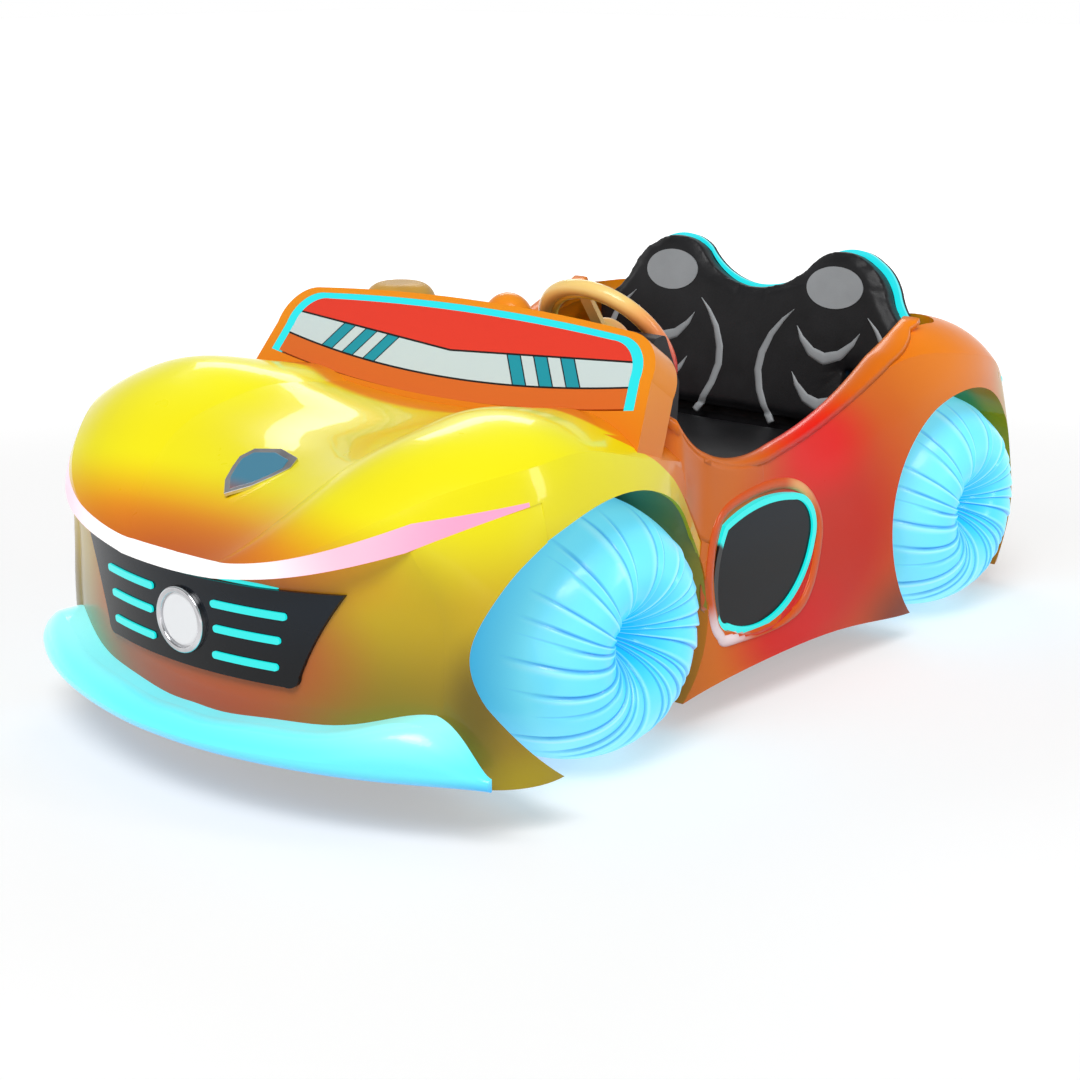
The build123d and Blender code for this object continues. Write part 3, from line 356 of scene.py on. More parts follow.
def printedScreen(name, art):
    material, tree, shader = blankMaterial(name)
    parts = split(tree, objectPlace(tree))
    wide = mathNode(tree, "ABSOLUTE", parts["X"])
    up = mathNode(tree, "ADD", mathNode(tree, "MULTIPLY_ADD", parts["Y"], art["upY"], art["footY"]),
                  mathNode(tree, "MULTIPLY_ADD", parts["Z"], art["upZ"], art["footZ"]))
    bow = mathNode(tree, "MULTIPLY", wide, wide)
    paleEdge = mathNode(tree, "MULTIPLY_ADD", bow, art["paleBow"], art["paleFrom"])
    redEdge = mathNode(tree, "MULTIPLY_ADD", wide, art["redSlope"], art["redFrom"])
    pastPale = mathNode(tree, "SUBTRACT", up, paleEdge)
    pastRed = mathNode(tree, "SUBTRACT", up, redEdge)
    bars = mathNode(tree, "ADD", wide, mathNode(tree, "MULTIPLY", up, art["barSlope"]))
    share = mathNode(tree, "FRACT", mathNode(tree, "MULTIPLY", bars, art["barsPerMetre"]))
    fromMiddle = mathNode(tree, "ABSOLUTE", mathNode(tree, "SUBTRACT", share, 0.5))
    zone = mathNode(tree, "MULTIPLY", step(tree, bars, *art["barsFrom"]), step(tree, bars, *art["barsTo"]))
    pale = srgb(*art["pale"])
    for width, tint in (("barLine", "barLineColour"), ("bar", "barColour")):
        mask = mathNode(tree, "MULTIPLY", step(tree, fromMiddle, *art[width]), zone)
        pale = mixColour(tree, mask, pale, srgb(*art[tint]))
    colour = mixColour(tree, step(tree, pastPale, -art["edge"], art["edge"]), srgb(*art["orange"]), pale)
    colour = mixColour(tree, step(tree, pastRed, -art["edge"], art["edge"]), colour, srgb(*art["red"]))
    for edge in (pastPale, pastRed):
        near = step(tree, mathNode(tree, "ABSOLUTE", edge), *art["outline"])
        colour = mixColour(tree, near, colour, srgb(*art["outlineColour"]))
    tree.links.new(colour, shader.inputs["Base Color"])
    addGrain(tree, shader, scale=60, gloss=0.12, spread=0.08, depth=0.00003)
    lacquer(shader, weight=0.4, rough=0.03, specular=0.2)
    return material


# Glow of the wheel covers from the hole to the tread, in their own cyan, paler over the outer face as painted
# light and darker at the tread as painted shade, with painted shade in the creases and painted highlights on
# the ridges
wheelGlow = {
    "stops": [(0.0, (0, 170, 240)), (0.14, (30, 186, 250)), (0.3, (90, 214, 252)), (0.52, (118, 224, 252)),
              (0.66, (70, 194, 254)), (1.0, (28, 152, 250))],
    "ridgeHighlight": (186, 244, 255), "creaseShade": (16, 128, 212), "dark": 0.35, "strength": 0.72,
}


def pleatedGlow(name, settings):
    material, tree, shader = blankMaterial(name)
    ramp = tree.nodes.new("ShaderNodeValToRGB")
    elements = ramp.color_ramp.elements
    for index, (place, tint) in enumerate(settings["stops"]):
        element = elements[index] if index < 2 else elements.new(place)
        element.position = place
        element.color = srgb(*tint)
    tree.links.new(attribute(tree, "along"), ramp.inputs["Fac"])
    colour = ramp.outputs["Color"]
    # painted highlight on the ridges, painted shade in the creases
    for label in ("ridgeHighlight", "creaseShade"):
        colour = mixColour(tree, attribute(tree, label), colour, srgb(*settings[label]))
    lightUp(tree, shader, colour, settings["dark"], settings["strength"])
    addGrain(tree, shader, scale=60, gloss=0.3, spread=0.12, depth=0.0001)
    lacquer(shader, weight=0.35, rough=0.12)
    return material


# Colours of the parts, some with painted shade, painted highlights and painted glow laid on
olive = (150, 122, 20)
nosePaintAndPaintedLight = gelcoat("nosePaintAndPaintedLight", (244, 232, 8), [
    # darker yellow, then olive, towards the bottom: partly the paint's own tone, partly painted shade
    ("fade", (212, 178, 14), (0, 0, -1), -0.56, -0.4),
    ("fade", olive, (0, 0, -1), -0.44, -0.22),
    # painted highlight: paler yellow on the hood top
    ("patch", (255, 250, 10), (0.36, -0.56, 0.66), (0.3, 0.4, 0.16), 0.1, 1.0),
    ("patch", (232, 138, 22), (0, -1.08, 0.47), (0.72, 0.3, 0.14), 0.25, 1.0),
    # painted shade: darker orange on the fascia under the lip
    ("patch", (190, 88, 34), (0, -1.03, 0.3), (0.5, 0.2, 0.26), 0.45, 1.0),
    ("patch", (206, 70, 22), (0, -1.0, 0.16), (0.4, 0.16, 0.09), 0.2, 0.9),
    # painted shade: dark olive in the hollow of the flank and darker yellow on the fin
    ("patch", (112, 92, 12), (0.53, -0.86, 0.24), (0.07, 0.09, 0.15), 0.1, 0.9),
    ("patch", (172, 150, 12), (0.58, -0.76, 0.1), (0.08, 0.14, 0.09), 0.2, 0.9),
    ("patch", (240, 150, 20), (0, -0.37, 0.62), (0.47, 0.1, 0.09), 0.75, 1.0),
    ("patch", (236, 140, 16), (0.4, -0.37, 0.64), (0.125, 0.088, 0.075), 0.75, 1.0),
    ("patch", (240, 178, 20), (0.49, -0.18, 0.42), (0.05, 0.08, 0.16), 0.3, 0.8)])
mainPaintAndPaintedLight = gelcoat("mainPaintAndPaintedLight", (222, 112, 8), [
    ("patch", (206, 36, 4), (0.5, 0.26, 0.28), (0.36, 0.42, 0.42), 0.25, 1.0),
    ("patch", (238, 8, 4), (0.49, 0.24, 0.48), (0.24, 0.22, 0.14), 0.2, 0.95),
    ("patch", (222, 10, 6), (0.5, 0.1, 0.13), (0.26, 0.26, 0.14), 0.2, 0.95),
    ("patch", (218, 108, 10), (0.5, -0.17, 0.38), (0.2, 0.18, 0.28), 0.35, 1.0),
    # painted shade: dark brown low on the side in front of the rear wheel
    ("patch", (128, 44, 4), (0.52, 0.52, 0.06), (0.2, 0.22, 0.16), 0.15, 0.9),
    ("patch", (248, 136, 6), (0.46, 0.74, 0.66), (0.28, 0.32, 0.26), 0.3, 1.0),
    ("patch", (190, 152, 10), (0.42, 1.08, 0.4), (0.5, 0.26, 0.4), 0.3, 1.0),
    # painted glow: green inside the rear arch for the cyan light of the wheel on the orange paint
    ("patch", (100, 136, 36), (0.36, 0.78, 0.4), (0.14, 0.42, 0.32), 0.7, 1.0)], coat=0.15)
cowlPaint = gelcoat("cowlPaint", (238, 142, 14), [("fade", (222, 112, 8), (0, 1, 0), -0.38, -0.2)])
surroundPaint = gelcoat("surroundPaint", (228, 124, 10), [
    ("fade", (242, 146, 24), (0, 0, 1), 0.56, 0.74)], coat=0.2)
bezelPaintAndHighlights = gelcoat("bezelPaintAndHighlights", (214, 84, 18), [
    # painted highlights: cream low at the front and pale orange high at the back of the bezel
    ("patch", (252, 236, 240), (0.49, -0.09, 0.18), (0.1, 0.1, 0.07), 0.3, 0.9),
    ("patch", (252, 190, 120), (0.51, 0.16, 0.38), (0.1, 0.06, 0.1), 0.2, 0.9)])
# painted glow: green for the cyan light of the wheels falling on the liner, turning olive towards the bottom
linerPaintedGlow = gelcoat("linerPaintedGlow", (84, 132, 96), [
    ("fade", (140, 122, 34), (0, 0, -1), -0.5, -0.3)], rough=0.35, coat=0.2)
lipLight = litPlastic("lipLight", (255, 190, 212), [
    ("patch", (254, 252, 252), (0.0, -1.08, 0.44), (0.42, 0.3, 0.2), 0.4, 1.0),
    ("fade", (252, 160, 196), (1, 0, 0), 0.36, 0.5)], 0.68, dim=0.5)
bumperLight = litPlastic("bumperLight", (100, 238, 250), [
    # painted highlight on the top of the bumper and painted shade on its underside
    ("fade", (150, 250, 253), (0, 0, 1), 0.15, 0.22),
    ("fade", (50, 176, 244), (0, 0, -1), -0.145, -0.115)], 0.62, dim=0.55)
stripLight = litPlastic("stripLight", (9, 240, 236), [("fade", (30, 236, 246), (0, 0, 1), 0.3, 0.9)],
                        0.85, dim=0.15)
ringLight = litPlastic("ringLight", (9, 240, 236), [
    ("patch", (10, 14, 16), (0.49, -0.12, 0.275), (0.1, 0.045, 0.085), 0.85, 1.0)], 0.85, dim=0.15)
blackGloss = gelcoat("blackGloss", (8, 10, 14), [
    ("fade", (16, 26, 36), (0, 0, 1), 0.25, 0.42)], rough=0.15, coat=0.15)
chromeRing = plainPlastic("chromeRing", (205, 205, 208), gloss=0.08, spread=0.1, depth=0.00003,
                          metallic=1.0)
lampWhite = litPlastic("lampWhite", (250, 250, 250), [
    ("patch", (228, 231, 235), (0, -1.04, 0.327), (0.05, 0.1, 0.05), 0.9, 0.6)], 0.5, dim=0.5)
darkPlastic = plainPlastic("darkPlastic", (34, 34, 37))
tanPlastic = plainPlastic("tanPlastic", (196, 152, 66), gloss=0.3, tone=0.1)
framePaint = plainPlastic("framePaint", (48, 48, 52), scale=300, gloss=0.35, depth=0.0002)
castMetal = plainPlastic("castMetal", (140, 141, 143), scale=260, gloss=0.5, depth=0.0004, metallic=0.7)
blackLeather = plainPlastic("blackLeather", (26, 26, 28), scale=420, gloss=0.3, depth=0.0004, tone=0.3)
greyLeather = plainPlastic("greyLeather", (156, 160, 163), scale=420, gloss=0.35, depth=0.0003, tone=0.07)
wheelRimPaint = gelcoat("wheelRimPaint", (250, 214, 130), [
    ("fade", (246, 160, 88), (0.55, 0.0, -0.83), -0.52, -0.44),
    ("fade", (246, 88, 82), (0.55, 0.0, -0.83), -0.46, -0.36)], rough=0.2)
hubPaint = gelcoat("hubPaint", (246, 150, 130), [("fade", (250, 200, 120), (0, 0, 1), 0.7, 0.76)])
badgeField = gelcoat("badgeField", (60, 128, 156), [("fade", (150, 84, 60), (0, 0, -1), -0.552, -0.53)])
rimYellow = gelcoat("rimYellow", (252, 222, 96), [("fade", (250, 150, 70), (0, 0, -1), -0.7, -0.6)])
screenPrint = printedScreen("screenPrint", screenArt)
wheelLit = pleatedGlow("wheelLit", wheelGlow)
print("materials made")

finishes = {
    "nose_shell": nosePaintAndPaintedLight, "lip_light": lipLight, "windscreen_surround": surroundPaint,
    "windscreen": screenPrint, "screen_light": stripLight, "cowl": cowlPaint, "main_shell": mainPaintAndPaintedLight,
    "side_rings": ringLight, "side_panels": blackGloss, "front_bumper": bumperLight,
    "grille_panel": blackGloss, "grille_lights": stripLight, "lamp_ring": chromeRing,
    "lamp_lens": lampWhite, "dash_pod": tanPlastic, "seat_cushion": blackLeather,
    "seat_back": blackLeather, "seat_light": stripLight, "headrests": greyLeather,
    "frame": framePaint, "front_axle": framePaint, "knuckle_left": framePaint,
    "knuckle_right": framePaint, "tie_rod": framePaint, "steering_rack": framePaint,
    "rear_axle": framePaint, "drive_motor": castMetal, "steering_wheel": wheelRimPaint,
    "wheel_cap": hubPaint,
}
for name, node in cad.items():
    material = finishes.get(name, wheelLit if name.startswith("tyre") else darkPlastic)
    node.data.materials.clear()
    node.data.materials.append(material)

# Wheels: pleated lit covers spun round the hub, with irregular folds like overlapping shingles
wheelCover = {
    "radius": 0.25, "ring": 0.126, "planeX": 0.36, "outerBulge": 0.208, "innerBulge": 0.04,
    "columns": 420, "rows": 60, "holeAngle": -76, "backAngle": 180, "twist": 24,  # angles in degrees
    "seed": 11, "widths": [10, 11, 13, 15, 17, 19, 21], "lastGap": 9,  # in columns
    "depths": (0.45, 1.0), "reaches": (24, 66), "leans": (-9, 9), "leanFrom": 90, "leanOver": 150,
    "foldDepth": 0.0066, "face": (-90, 110), "fadeOver": 26, "overrun": 14, "innerShare": 0.3,
    "valley": -1.0, "foot": 0.2, "footEnd": 0.1, "crest": 0.75, "fall": 1.1,  # shape across a fold
    # darkness of the painted shade in the creases, and place and strength of the painted highlight on the
    # ridges
    "creaseLeast": 0.4, "ridgePlace": 0.16, "ridgeStrength": 0.55,
    "centres": {"front_left": (1, -0.438), "rear_left": (1, 0.782), "front_right": (-1, -0.438),
                "rear_right": (-1, 0.782)},
}


def foldRows(settings):  # first column, depth, reach and lean of each fold
    draw = random.Random(settings["seed"])
    folds, column = [], 0
    while column < settings["columns"] - settings["lastGap"]:
        folds.append((column, draw.uniform(*settings["depths"]), draw.uniform(*settings["reaches"]),
                      draw.uniform(*settings["leans"])))
        column += draw.choice(settings["widths"])
    return folds


def foldAt(column, folds, settings):  # the fold there, with the place across it and the columns to its edge
    here = max(i for i, fold in enumerate(folds) if fold[0] <= column)
    start, depth, reach, lean = folds[here]
    end = folds[here + 1][0] if here + 1 < len(folds) else settings["columns"]
    share = (column - start) / (end - start)
    lean += (folds[(here + 1) % len(folds)][3] - lean) * share
    return depth, reach, lean, share, min(column - start, end - column)


def foldShape(share, settings):
    if share == 0:
        return settings["valley"]
    return settings["crest"] - settings["fall"] * share if share > settings["footEnd"] else settings["foot"]


def spinCover(settings):
    bm = bmesh.new()
    tube = settings["radius"] - settings["ring"]
    turn = settings["holeAngle"] - settings["backAngle"]
    path = []
    for i in range(settings["rows"]):
        a = radians(settings["backAngle"] + turn * i / (settings["rows"] - 1))
        bulge = settings["outerBulge"] if cos(a) > 0 else settings["innerBulge"]
        path.append(bm.verts.new((settings["planeX"] + bulge * cos(a), 0, settings["ring"] + tube * sin(a))))
    edges = [bm.edges.new(pair) for pair in zip(path, path[1:])]
    bmesh.ops.spin(bm, geom=path + edges, cent=(0, 0, 0), axis=(1, 0, 0), angle=2 * pi,
                   steps=settings["columns"], use_merge=True)
    return bm


def makeWheelCover(name, side, axleY, settings):
    bm = spinCover(settings)
    folds = foldRows(settings)
    layers = {label: bm.verts.layers.float.new(label) for label in ("creaseShade", "ridgeHighlight", "along")}
    tube = settings["radius"] - settings["ring"]
    hole = settings["holeAngle"]
    turnStep = 2 * pi / settings["columns"]
    for vert in bm.verts:
        x, y, z = vert.co
        radius = hypot(y, z)
        turn = atan2(-y, z) % (2 * pi)
        column = round(turn / turnStep) % settings["columns"]
        depth, reach, lean, share, near = foldAt(column, folds, settings)
        bulge = settings["outerBulge"] if x > settings["planeX"] else settings["innerBulge"]
        around = atan2((radius - settings["ring"]) / tube, (x - settings["planeX"]) / bulge)
        degrees = around * 180 / pi
        outwards = clamp((reach + settings["overrun"] - degrees) / settings["fadeOver"])
        inwards = clamp((degrees - hole) / settings["fadeOver"])
        onFace = 1 if settings["face"][0] < degrees < settings["face"][1] else 0
        height = foldShape(share, settings) * depth * settings["foldDepth"] * outwards * onFace
        height *= settings["innerShare"] + (1 - settings["innerShare"]) * inwards
        # painted shade along the creases, painted highlight on the ridges just past them
        creaseShade = outwards * onFace * (settings["creaseLeast"] + (1 - settings["creaseLeast"]) * depth)
        fromRidge = abs(share - settings["ridgePlace"]) / settings["ridgePlace"]
        vert[layers["creaseShade"]] = creaseShade * max(0, 1 - near / 2)
        ridgeHighlight = outwards * onFace * inwards * depth * settings["ridgeStrength"]
        vert[layers["ridgeHighlight"]] = ridgeHighlight * max(0, 1 - fromRidge)
        vert[layers["along"]] = clamp((degrees - hole) / (settings["backAngle"] - hole))
        out = Vector((cos(around) / bulge, 0, sin(around) / tube)).normalized()
        turn += radians(settings["twist"]) * (1 - radius / settings["radius"])
        turn += radians(lean) * clamp((settings["leanFrom"] - degrees) / settings["leanOver"]) * onFace
        radius += out.z * height
        vert.co = (x + out.x * height, -radius * sin(turn), radius * cos(turn))
    if side < 0:
        bmesh.ops.scale(bm, vec=(-1, 1, 1), verts=bm.verts)
    bmesh.ops.translate(bm, vec=(0, axleY, settings["radius"]), verts=bm.verts)
    cover = makeObject("cover_" + name, bm, wheelLit, "wheel_" + name)
    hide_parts("tyre_" + name)


for name, (side, axleY) in wheelCover["centres"].items():
    makeWheelCover(name, side, axleY, wheelCover)
print("wheel covers made")

# Side of the waist between fender and cockpit, and the rolled rim over the cut edge
waist = {"columns": 32, "rows": 14, "front": -0.312, "back": 0.06, "thick": 0.003, "smoothing": 4,
         "rise": 0.0014, "clear": 0.0002, "tuck": 0.0008, "below": 0.002, "border": 5,
         "cut": 0.486, "slopeFrom": -0.14, "slopeGain": 1.2, "slopeMost": 0.22, "bodySide": 0.474,
         "seam": [(-0.4, 0.6), (-0.35, 0.562), (-0.297, 0.521), (-0.239, 0.464), (-0.19, 0.412),
                  (-0.158, 0.366), (-0.1, 0.34), (0.06, 0.36)]}
rimRoll = {"height": 0.01, "inner": 0.437, "segments": 10, "from": -0.3, "to": 0.632, "steps": 62,
           "waistDrop": 0.004, "bodyDrop": 0.012, "overhang": 0.0016, "depth": 0.012,
           "endShare": 0.2, "endSteps": 4,
           "arcs": [((-0.274, 0.637), (-0.112, 0.512), (0.112, 0.495)),
                    ((0.112, 0.495), (0.3, 0.538), (0.479, 0.62)),
                    ((0.479, 0.62), (0.56, 0.652), (0.64, 0.692))]}
shellTree = surfaceOf(cad["main_shell"], cad["cowl"])
sideTree = surfaceOf(cad["main_shell"], cad["cowl"], cad["windscreen_surround"])


def alongLine(line, y):
    for (y0, z0), (y1, z1) in zip(line, line[1:]):
        if y <= y1:
            return z0 + (z1 - z0) * (y - y0) / (y1 - y0)
    return line[-1][1]


def rimHeight(y, settings):  # edge of the cockpit opening, from the circle through three points of its arc
    (y0, z0), (y1, z1), (y2, z2) = next(arc for arc in settings["arcs"] if y < arc[-1][0])
    turn = 2 * (y0 * (z1 - z2) + y1 * (z2 - z0) + y2 * (z0 - z1))
    a, b, c = y0 * y0 + z0 * z0, y1 * y1 + z1 * z1, y2 * y2 + z2 * z2
    middleY = (a * (z1 - z2) + b * (z2 - z0) + c * (z0 - z1)) / turn
    middleZ = (a * (y2 - y1) + b * (y0 - y2) + c * (y1 - y0)) / turn
    radius = hypot(y0 - middleY, z0 - middleZ)
    flat = max(-radius, min(radius, y - middleY))
    rise = (radius * radius - flat * flat) ** 0.5
    return middleZ + rise if z1 > middleZ else middleZ - rise


def bodySide(y, z, side=1):
    hit = castSide(sideTree, side, y, z)
    return abs(hit.x) if hit else waist["bodySide"]


def waistSide(y, z):  # the body's side carried straight up past the cut edge
    slope = max(0.0, min(waist["slopeMost"], (waist["slopeFrom"] - y) * waist["slopeGain"]))
    return bodySide(y, min(z, waist["cut"])) - slope * max(0.0, z - waist["cut"])


def makeWaistSkin(name, side, settings, rimSettings):
    bm = bmesh.new()
    grid = []
    for i in range(settings["columns"] + 1):
        y = settings["front"] + (settings["back"] - settings["front"]) * i / settings["columns"]
        low = alongLine(settings["seam"], y)
        high = rimHeight(max(y, rimSettings["from"]), rimSettings) - settings["below"]
        tuck = settings["tuck"] if i == settings["columns"] else 0
        column = []
        for k in range(settings["rows"] + 1):
            z = low + (high - low) * k / settings["rows"]
            edge = min(i, settings["columns"] - i, k, settings["border"]) / settings["border"]
            rise = settings["rise"] * edge + settings["clear"] - tuck
            column.append(bm.verts.new((side * (waistSide(y, z) + rise), y, z)))
        grid.append(column)
    for a, b in zip(grid, grid[1:]):
        for k in range(settings["rows"]):
            bm.faces.new((a[k], a[k + 1], b[k + 1], b[k]))
    bmesh.ops.recalc_face_normals(bm, faces=bm.faces)
    if sum(face.normal.x for face in bm.faces) * side < 0:
        bmesh.ops.reverse_faces(bm, faces=bm.faces)
    inside = [v for v in bm.verts if not v.is_boundary]
    for _ in range(settings["smoothing"]):
        bmesh.ops.smooth_vert(bm, verts=inside, factor=0.5, use_axis_x=True)
    backs = bmesh.ops.extrude_face_region(bm, geom=bm.faces[:], use_keep_orig=True)["geom"]
    bmesh.ops.translate(bm, vec=(-side * settings["thick"], 0, 0), verts=vertsOf(backs))
    makeObject(name, bm, mainPaintAndPaintedLight)


def makeRimRoll(name, side, settings):
    line, outer = [], []
    for i in range(settings["steps"] + 1):
        y = settings["from"] + (settings["to"] - settings["from"]) * i / settings["steps"]
        z = rimHeight(y, settings)
        line.append((y, z))
        if y < waist["back"]:
            outer.append(waistSide(y, z - settings["waistDrop"]))
        else:
            outer.append(bodySide(y, z - settings["bodyDrop"]))

    def ring(index):
        y, z = line[index]
        slope = outward(line, index)
        fromEnd = min(index, len(line) - 1 - index)
        size = min(1, settings["endShare"] + fromEnd / settings["endSteps"])
        middle = (outer[index] + settings["inner"]) / 2
        half = (outer[index] - settings["inner"]) / 2 + settings["overhang"]
        points = []
        for k in range(settings["segments"] + 1):
            a = pi * k / settings["segments"]
            lift = settings["height"] * size * sin(a)
            points.append(Vector((side * (middle + half * cos(a)), y, z)) + slope * lift)
        for reach in (-half, half):
            points.append(Vector((side * (middle + reach), y, z)) - slope * settings["depth"])
        return points

    makeSwept(name, line, ring, mainPaintAndPaintedLight)


for side, word in sides:
    makeRimRoll("rim_roll_" + word, side, rimRoll)
    makeWaistSkin("waist_skin_" + word, side, waist, rimRoll)
print("rim rolls and waists made")

# Raised bezel round each side panel
bezel = {"centre": (0.497, 0.028, 0.278), "turn": 4, "grow": 0.029, "half": 0.0115, "height": 0.0065,
         "sunk": 0.001, "samples": 10, "arcSteps": 8,
         "points": [(-0.1, -0.096, -0.2, -1), (0.088, -0.086, 0.6, -0.8), (0.158, 0.02, 1, -0.1),
                    (0.15, 0.084, 0.8, 0.6), (0.096, 0.116, 0.2, 1), (-0.02, 0.12, -0.1, 1),
                    (-0.11, 0.094, -0.6, 0.8), (-0.136, 0.008, -1, 0), (-0.13, -0.066, -1, -0.2),
                    (-0.122, -0.088, -0.7, -0.7)]}


def smoothLoop(corners, samples):  # closed curve through the corners
    count = len(corners)
    line = []
    for i in range(count):
        p0, p1, p2, p3 = [Vector(corners[(i + k) % count]) for k in (-1, 0, 1, 2)]
        for k in range(samples):
            t = k / samples
            line.append(0.5 * ((2 * p1) + (p2 - p0) * t + (2 * p0 - 5 * p1 + 4 * p2 - p3) * t * t
                               + (3 * p1 - p0 - 3 * p2 + p3) * t * t * t))
    return line


def makeBezel(name, side, settings):
    grow = settings["grow"]
    corners = [(y + outY * grow, z + outZ * grow) for y, z, outY, outZ in settings["points"]]
    line = smoothLoop(corners, settings["samples"])
    turn = radians(settings["turn"])
    out = Vector((side * cos(turn), -sin(turn), 0))

    def place(flat):
        y = settings["centre"][1] + flat.x * cos(turn)
        z = settings["centre"][2] + flat.y
        return Vector((side * bodySide(y, z, side), y, z))

    def ring(index):
        along = (line[(index + 1) % len(line)] - line[index - 1]).normalized()
        across = Vector((along.y, -along.x))
        points = []
        for k in range(settings["arcSteps"] + 1):
            a = pi * k / settings["arcSteps"]
            spot = place(line[index] + across * settings["half"] * cos(a))
            points.append(spot + out * (settings["height"] * sin(a) - settings["sunk"]))
        return points

    makeSwept(name, line, ring, bezelPaintAndHighlights, closed=True)


for side, word in sides:
    makeBezel("panel_bezel_" + word, side, bezel)
print("panel bezels made")

# Inner fenders over the front wheels, along the arch, and dark covers over the rear wheels
arch = {"x": 0.236, "thick": 0.004, "gap": 0.004, "wheel": (-0.438, 0.25), "probe": 0.01, "inset": 0.0035,
        "fallback": 0.47, "least": 0.44, "most": 0.6,
        "line": [
            (-0.69, 0.078), (-0.738, 0.112), (-0.783, 0.155), (-0.826, 0.197), (-0.843, 0.24), (-0.853, 0.29),
            (-0.856, 0.34), (-0.845, 0.382), (-0.823, 0.418), (-0.785, 0.452), (-0.748, 0.48), (-0.708, 0.501),
            (-0.66, 0.519), (-0.598, 0.5335), (-0.54, 0.54), (-0.49, 0.54), (-0.438, 0.5345), (-0.39, 0.524),
            (-0.345, 0.506), (-0.31, 0.4885), (-0.283, 0.468), (-0.255, 0.447), (-0.23, 0.424), (-0.208, 0.4),
            (-0.185, 0.372), (-0.168, 0.335), (-0.156, 0.295), (-0.149, 0.25), (-0.147, 0.21), (-0.156, 0.165),
            (-0.176, 0.125), (-0.208, 0.088)]}
rearCover = {"x": 0.293, "outer": 0.415, "thick": 0.003, "wall": 0.296, "foot": 0.29,
             "line": [(0.462, 0.296), (0.474, 0.352), (0.496, 0.402), (0.525, 0.442), (0.562, 0.476),
                      (0.608, 0.503), (0.655, 0.517), (0.7, 0.522)]}
noseTree = surfaceOf(cad["nose_shell"], cad["cowl"], cad["main_shell"])


def makeArchLiner(name, side, settings):
    line = settings["line"]
    wheelY, wheelZ = settings["wheel"]
    outer = []
    for y, z in line:
        away = Vector((y - wheelY, z - wheelZ)).normalized() * settings["probe"]
        hit = castSide(noseTree, side, y + away.x, z + away.y)
        found = abs(hit.x) - settings["inset"] if hit else settings["fallback"]
        outer.append(max(settings["least"], min(settings["most"], found)))

    def ring(index):
        out = outward(line, index)
        near = Vector((0, *line[index])) + out * settings["gap"]
        far = near + out * settings["thick"]
        inner, end = side * settings["x"], side * outer[index]
        return [Vector((x, at.y, at.z)) for x, at in ((inner, near), (end, near), (end, far), (inner, far))]

    makeSwept(name, line, ring, linerPaintedGlow)


def makeRearCover(name, side, settings):
    line = settings["line"]

    def ring(index, reach, low, high):
        y, inner, outer = line[index][0], side * settings["x"], side * reach
        return [Vector((x, y, z)) for x, z in ((inner, low), (outer, low), (outer, high), (inner, high))]

    bm = bmesh.new()
    sweep(bm, line, lambda i: ring(i, settings["outer"], line[i][1], line[i][1] + settings["thick"]))
    sweep(bm, line, lambda i: ring(i, settings["wall"], settings["foot"], line[i][1]))
    makeObject(name, bm, darkPlastic, smooth=False)


for side, word in sides:
    makeArchLiner("arch_liner_" + word, side, arch)
    makeRearCover("rear_wheel_cover_" + word, side, rearCover)
print("arch liners made")

# Thin light under the lip, along the top of the grille
chinLight = {"half": 0.212, "z": 0.4165, "height": 0.006, "depth": 0.006, "steps": 40, "back": 0.002,
             "fallback": -1.015, "endShare": 0.25, "endSteps": 5}
fasciaTree = surfaceOf(cad["nose_shell"])


def makeChinLight(settings):
    places = []
    for i in range(settings["steps"] + 1):
        x = settings["half"] * (2 * i / settings["steps"] - 1)
        hit = fasciaTree.ray_cast(Vector((x, rayStart["front"], settings["z"])), Vector((0, 1, 0)))[0]
        places.append(Vector((x, hit.y if hit else settings["fallback"], settings["z"])))

    def ring(index):
        fromEnd = min(index, settings["steps"] - index)
        tall = settings["height"] / 2 * min(1, settings["endShare"] + fromEnd / settings["endSteps"])
        front = [places[index] + Vector((0, -settings["depth"] * cos(a), tall * sin(a)))
                 for a in (-pi / 2, -pi / 4, 0, pi / 4, pi / 2)]
        return front + [places[index] + Vector((0, settings["back"], 0))]

    makeSwept("chin_light", places, ring, stripLight)


makeChinLight(chinLight)

# Blank shield on the hood
badge = {"y": -0.842, "above": 0.05, "below": 0.06, "beside": 0.045, "width": 0.132, "height": 0.15,
         "thick": 0.008, "bevel": 0.0012, "bevelFrom": 0.008, "layers": [
             ("hood_badge", 1.0, chromeRing, "bright_ring", 0.0),
             ("hood_badge_field", 0.8, badgeField, "printed_panel", 0.0012)],
         "outline": [(-0.42, 0.4), (0.0, 0.5), (0.42, 0.4), (0.5, 0.2), (0.4, -0.02), (0.26, -0.26),
                     (0.0, -0.5), (-0.26, -0.26), (-0.4, -0.02), (-0.5, 0.2)]}


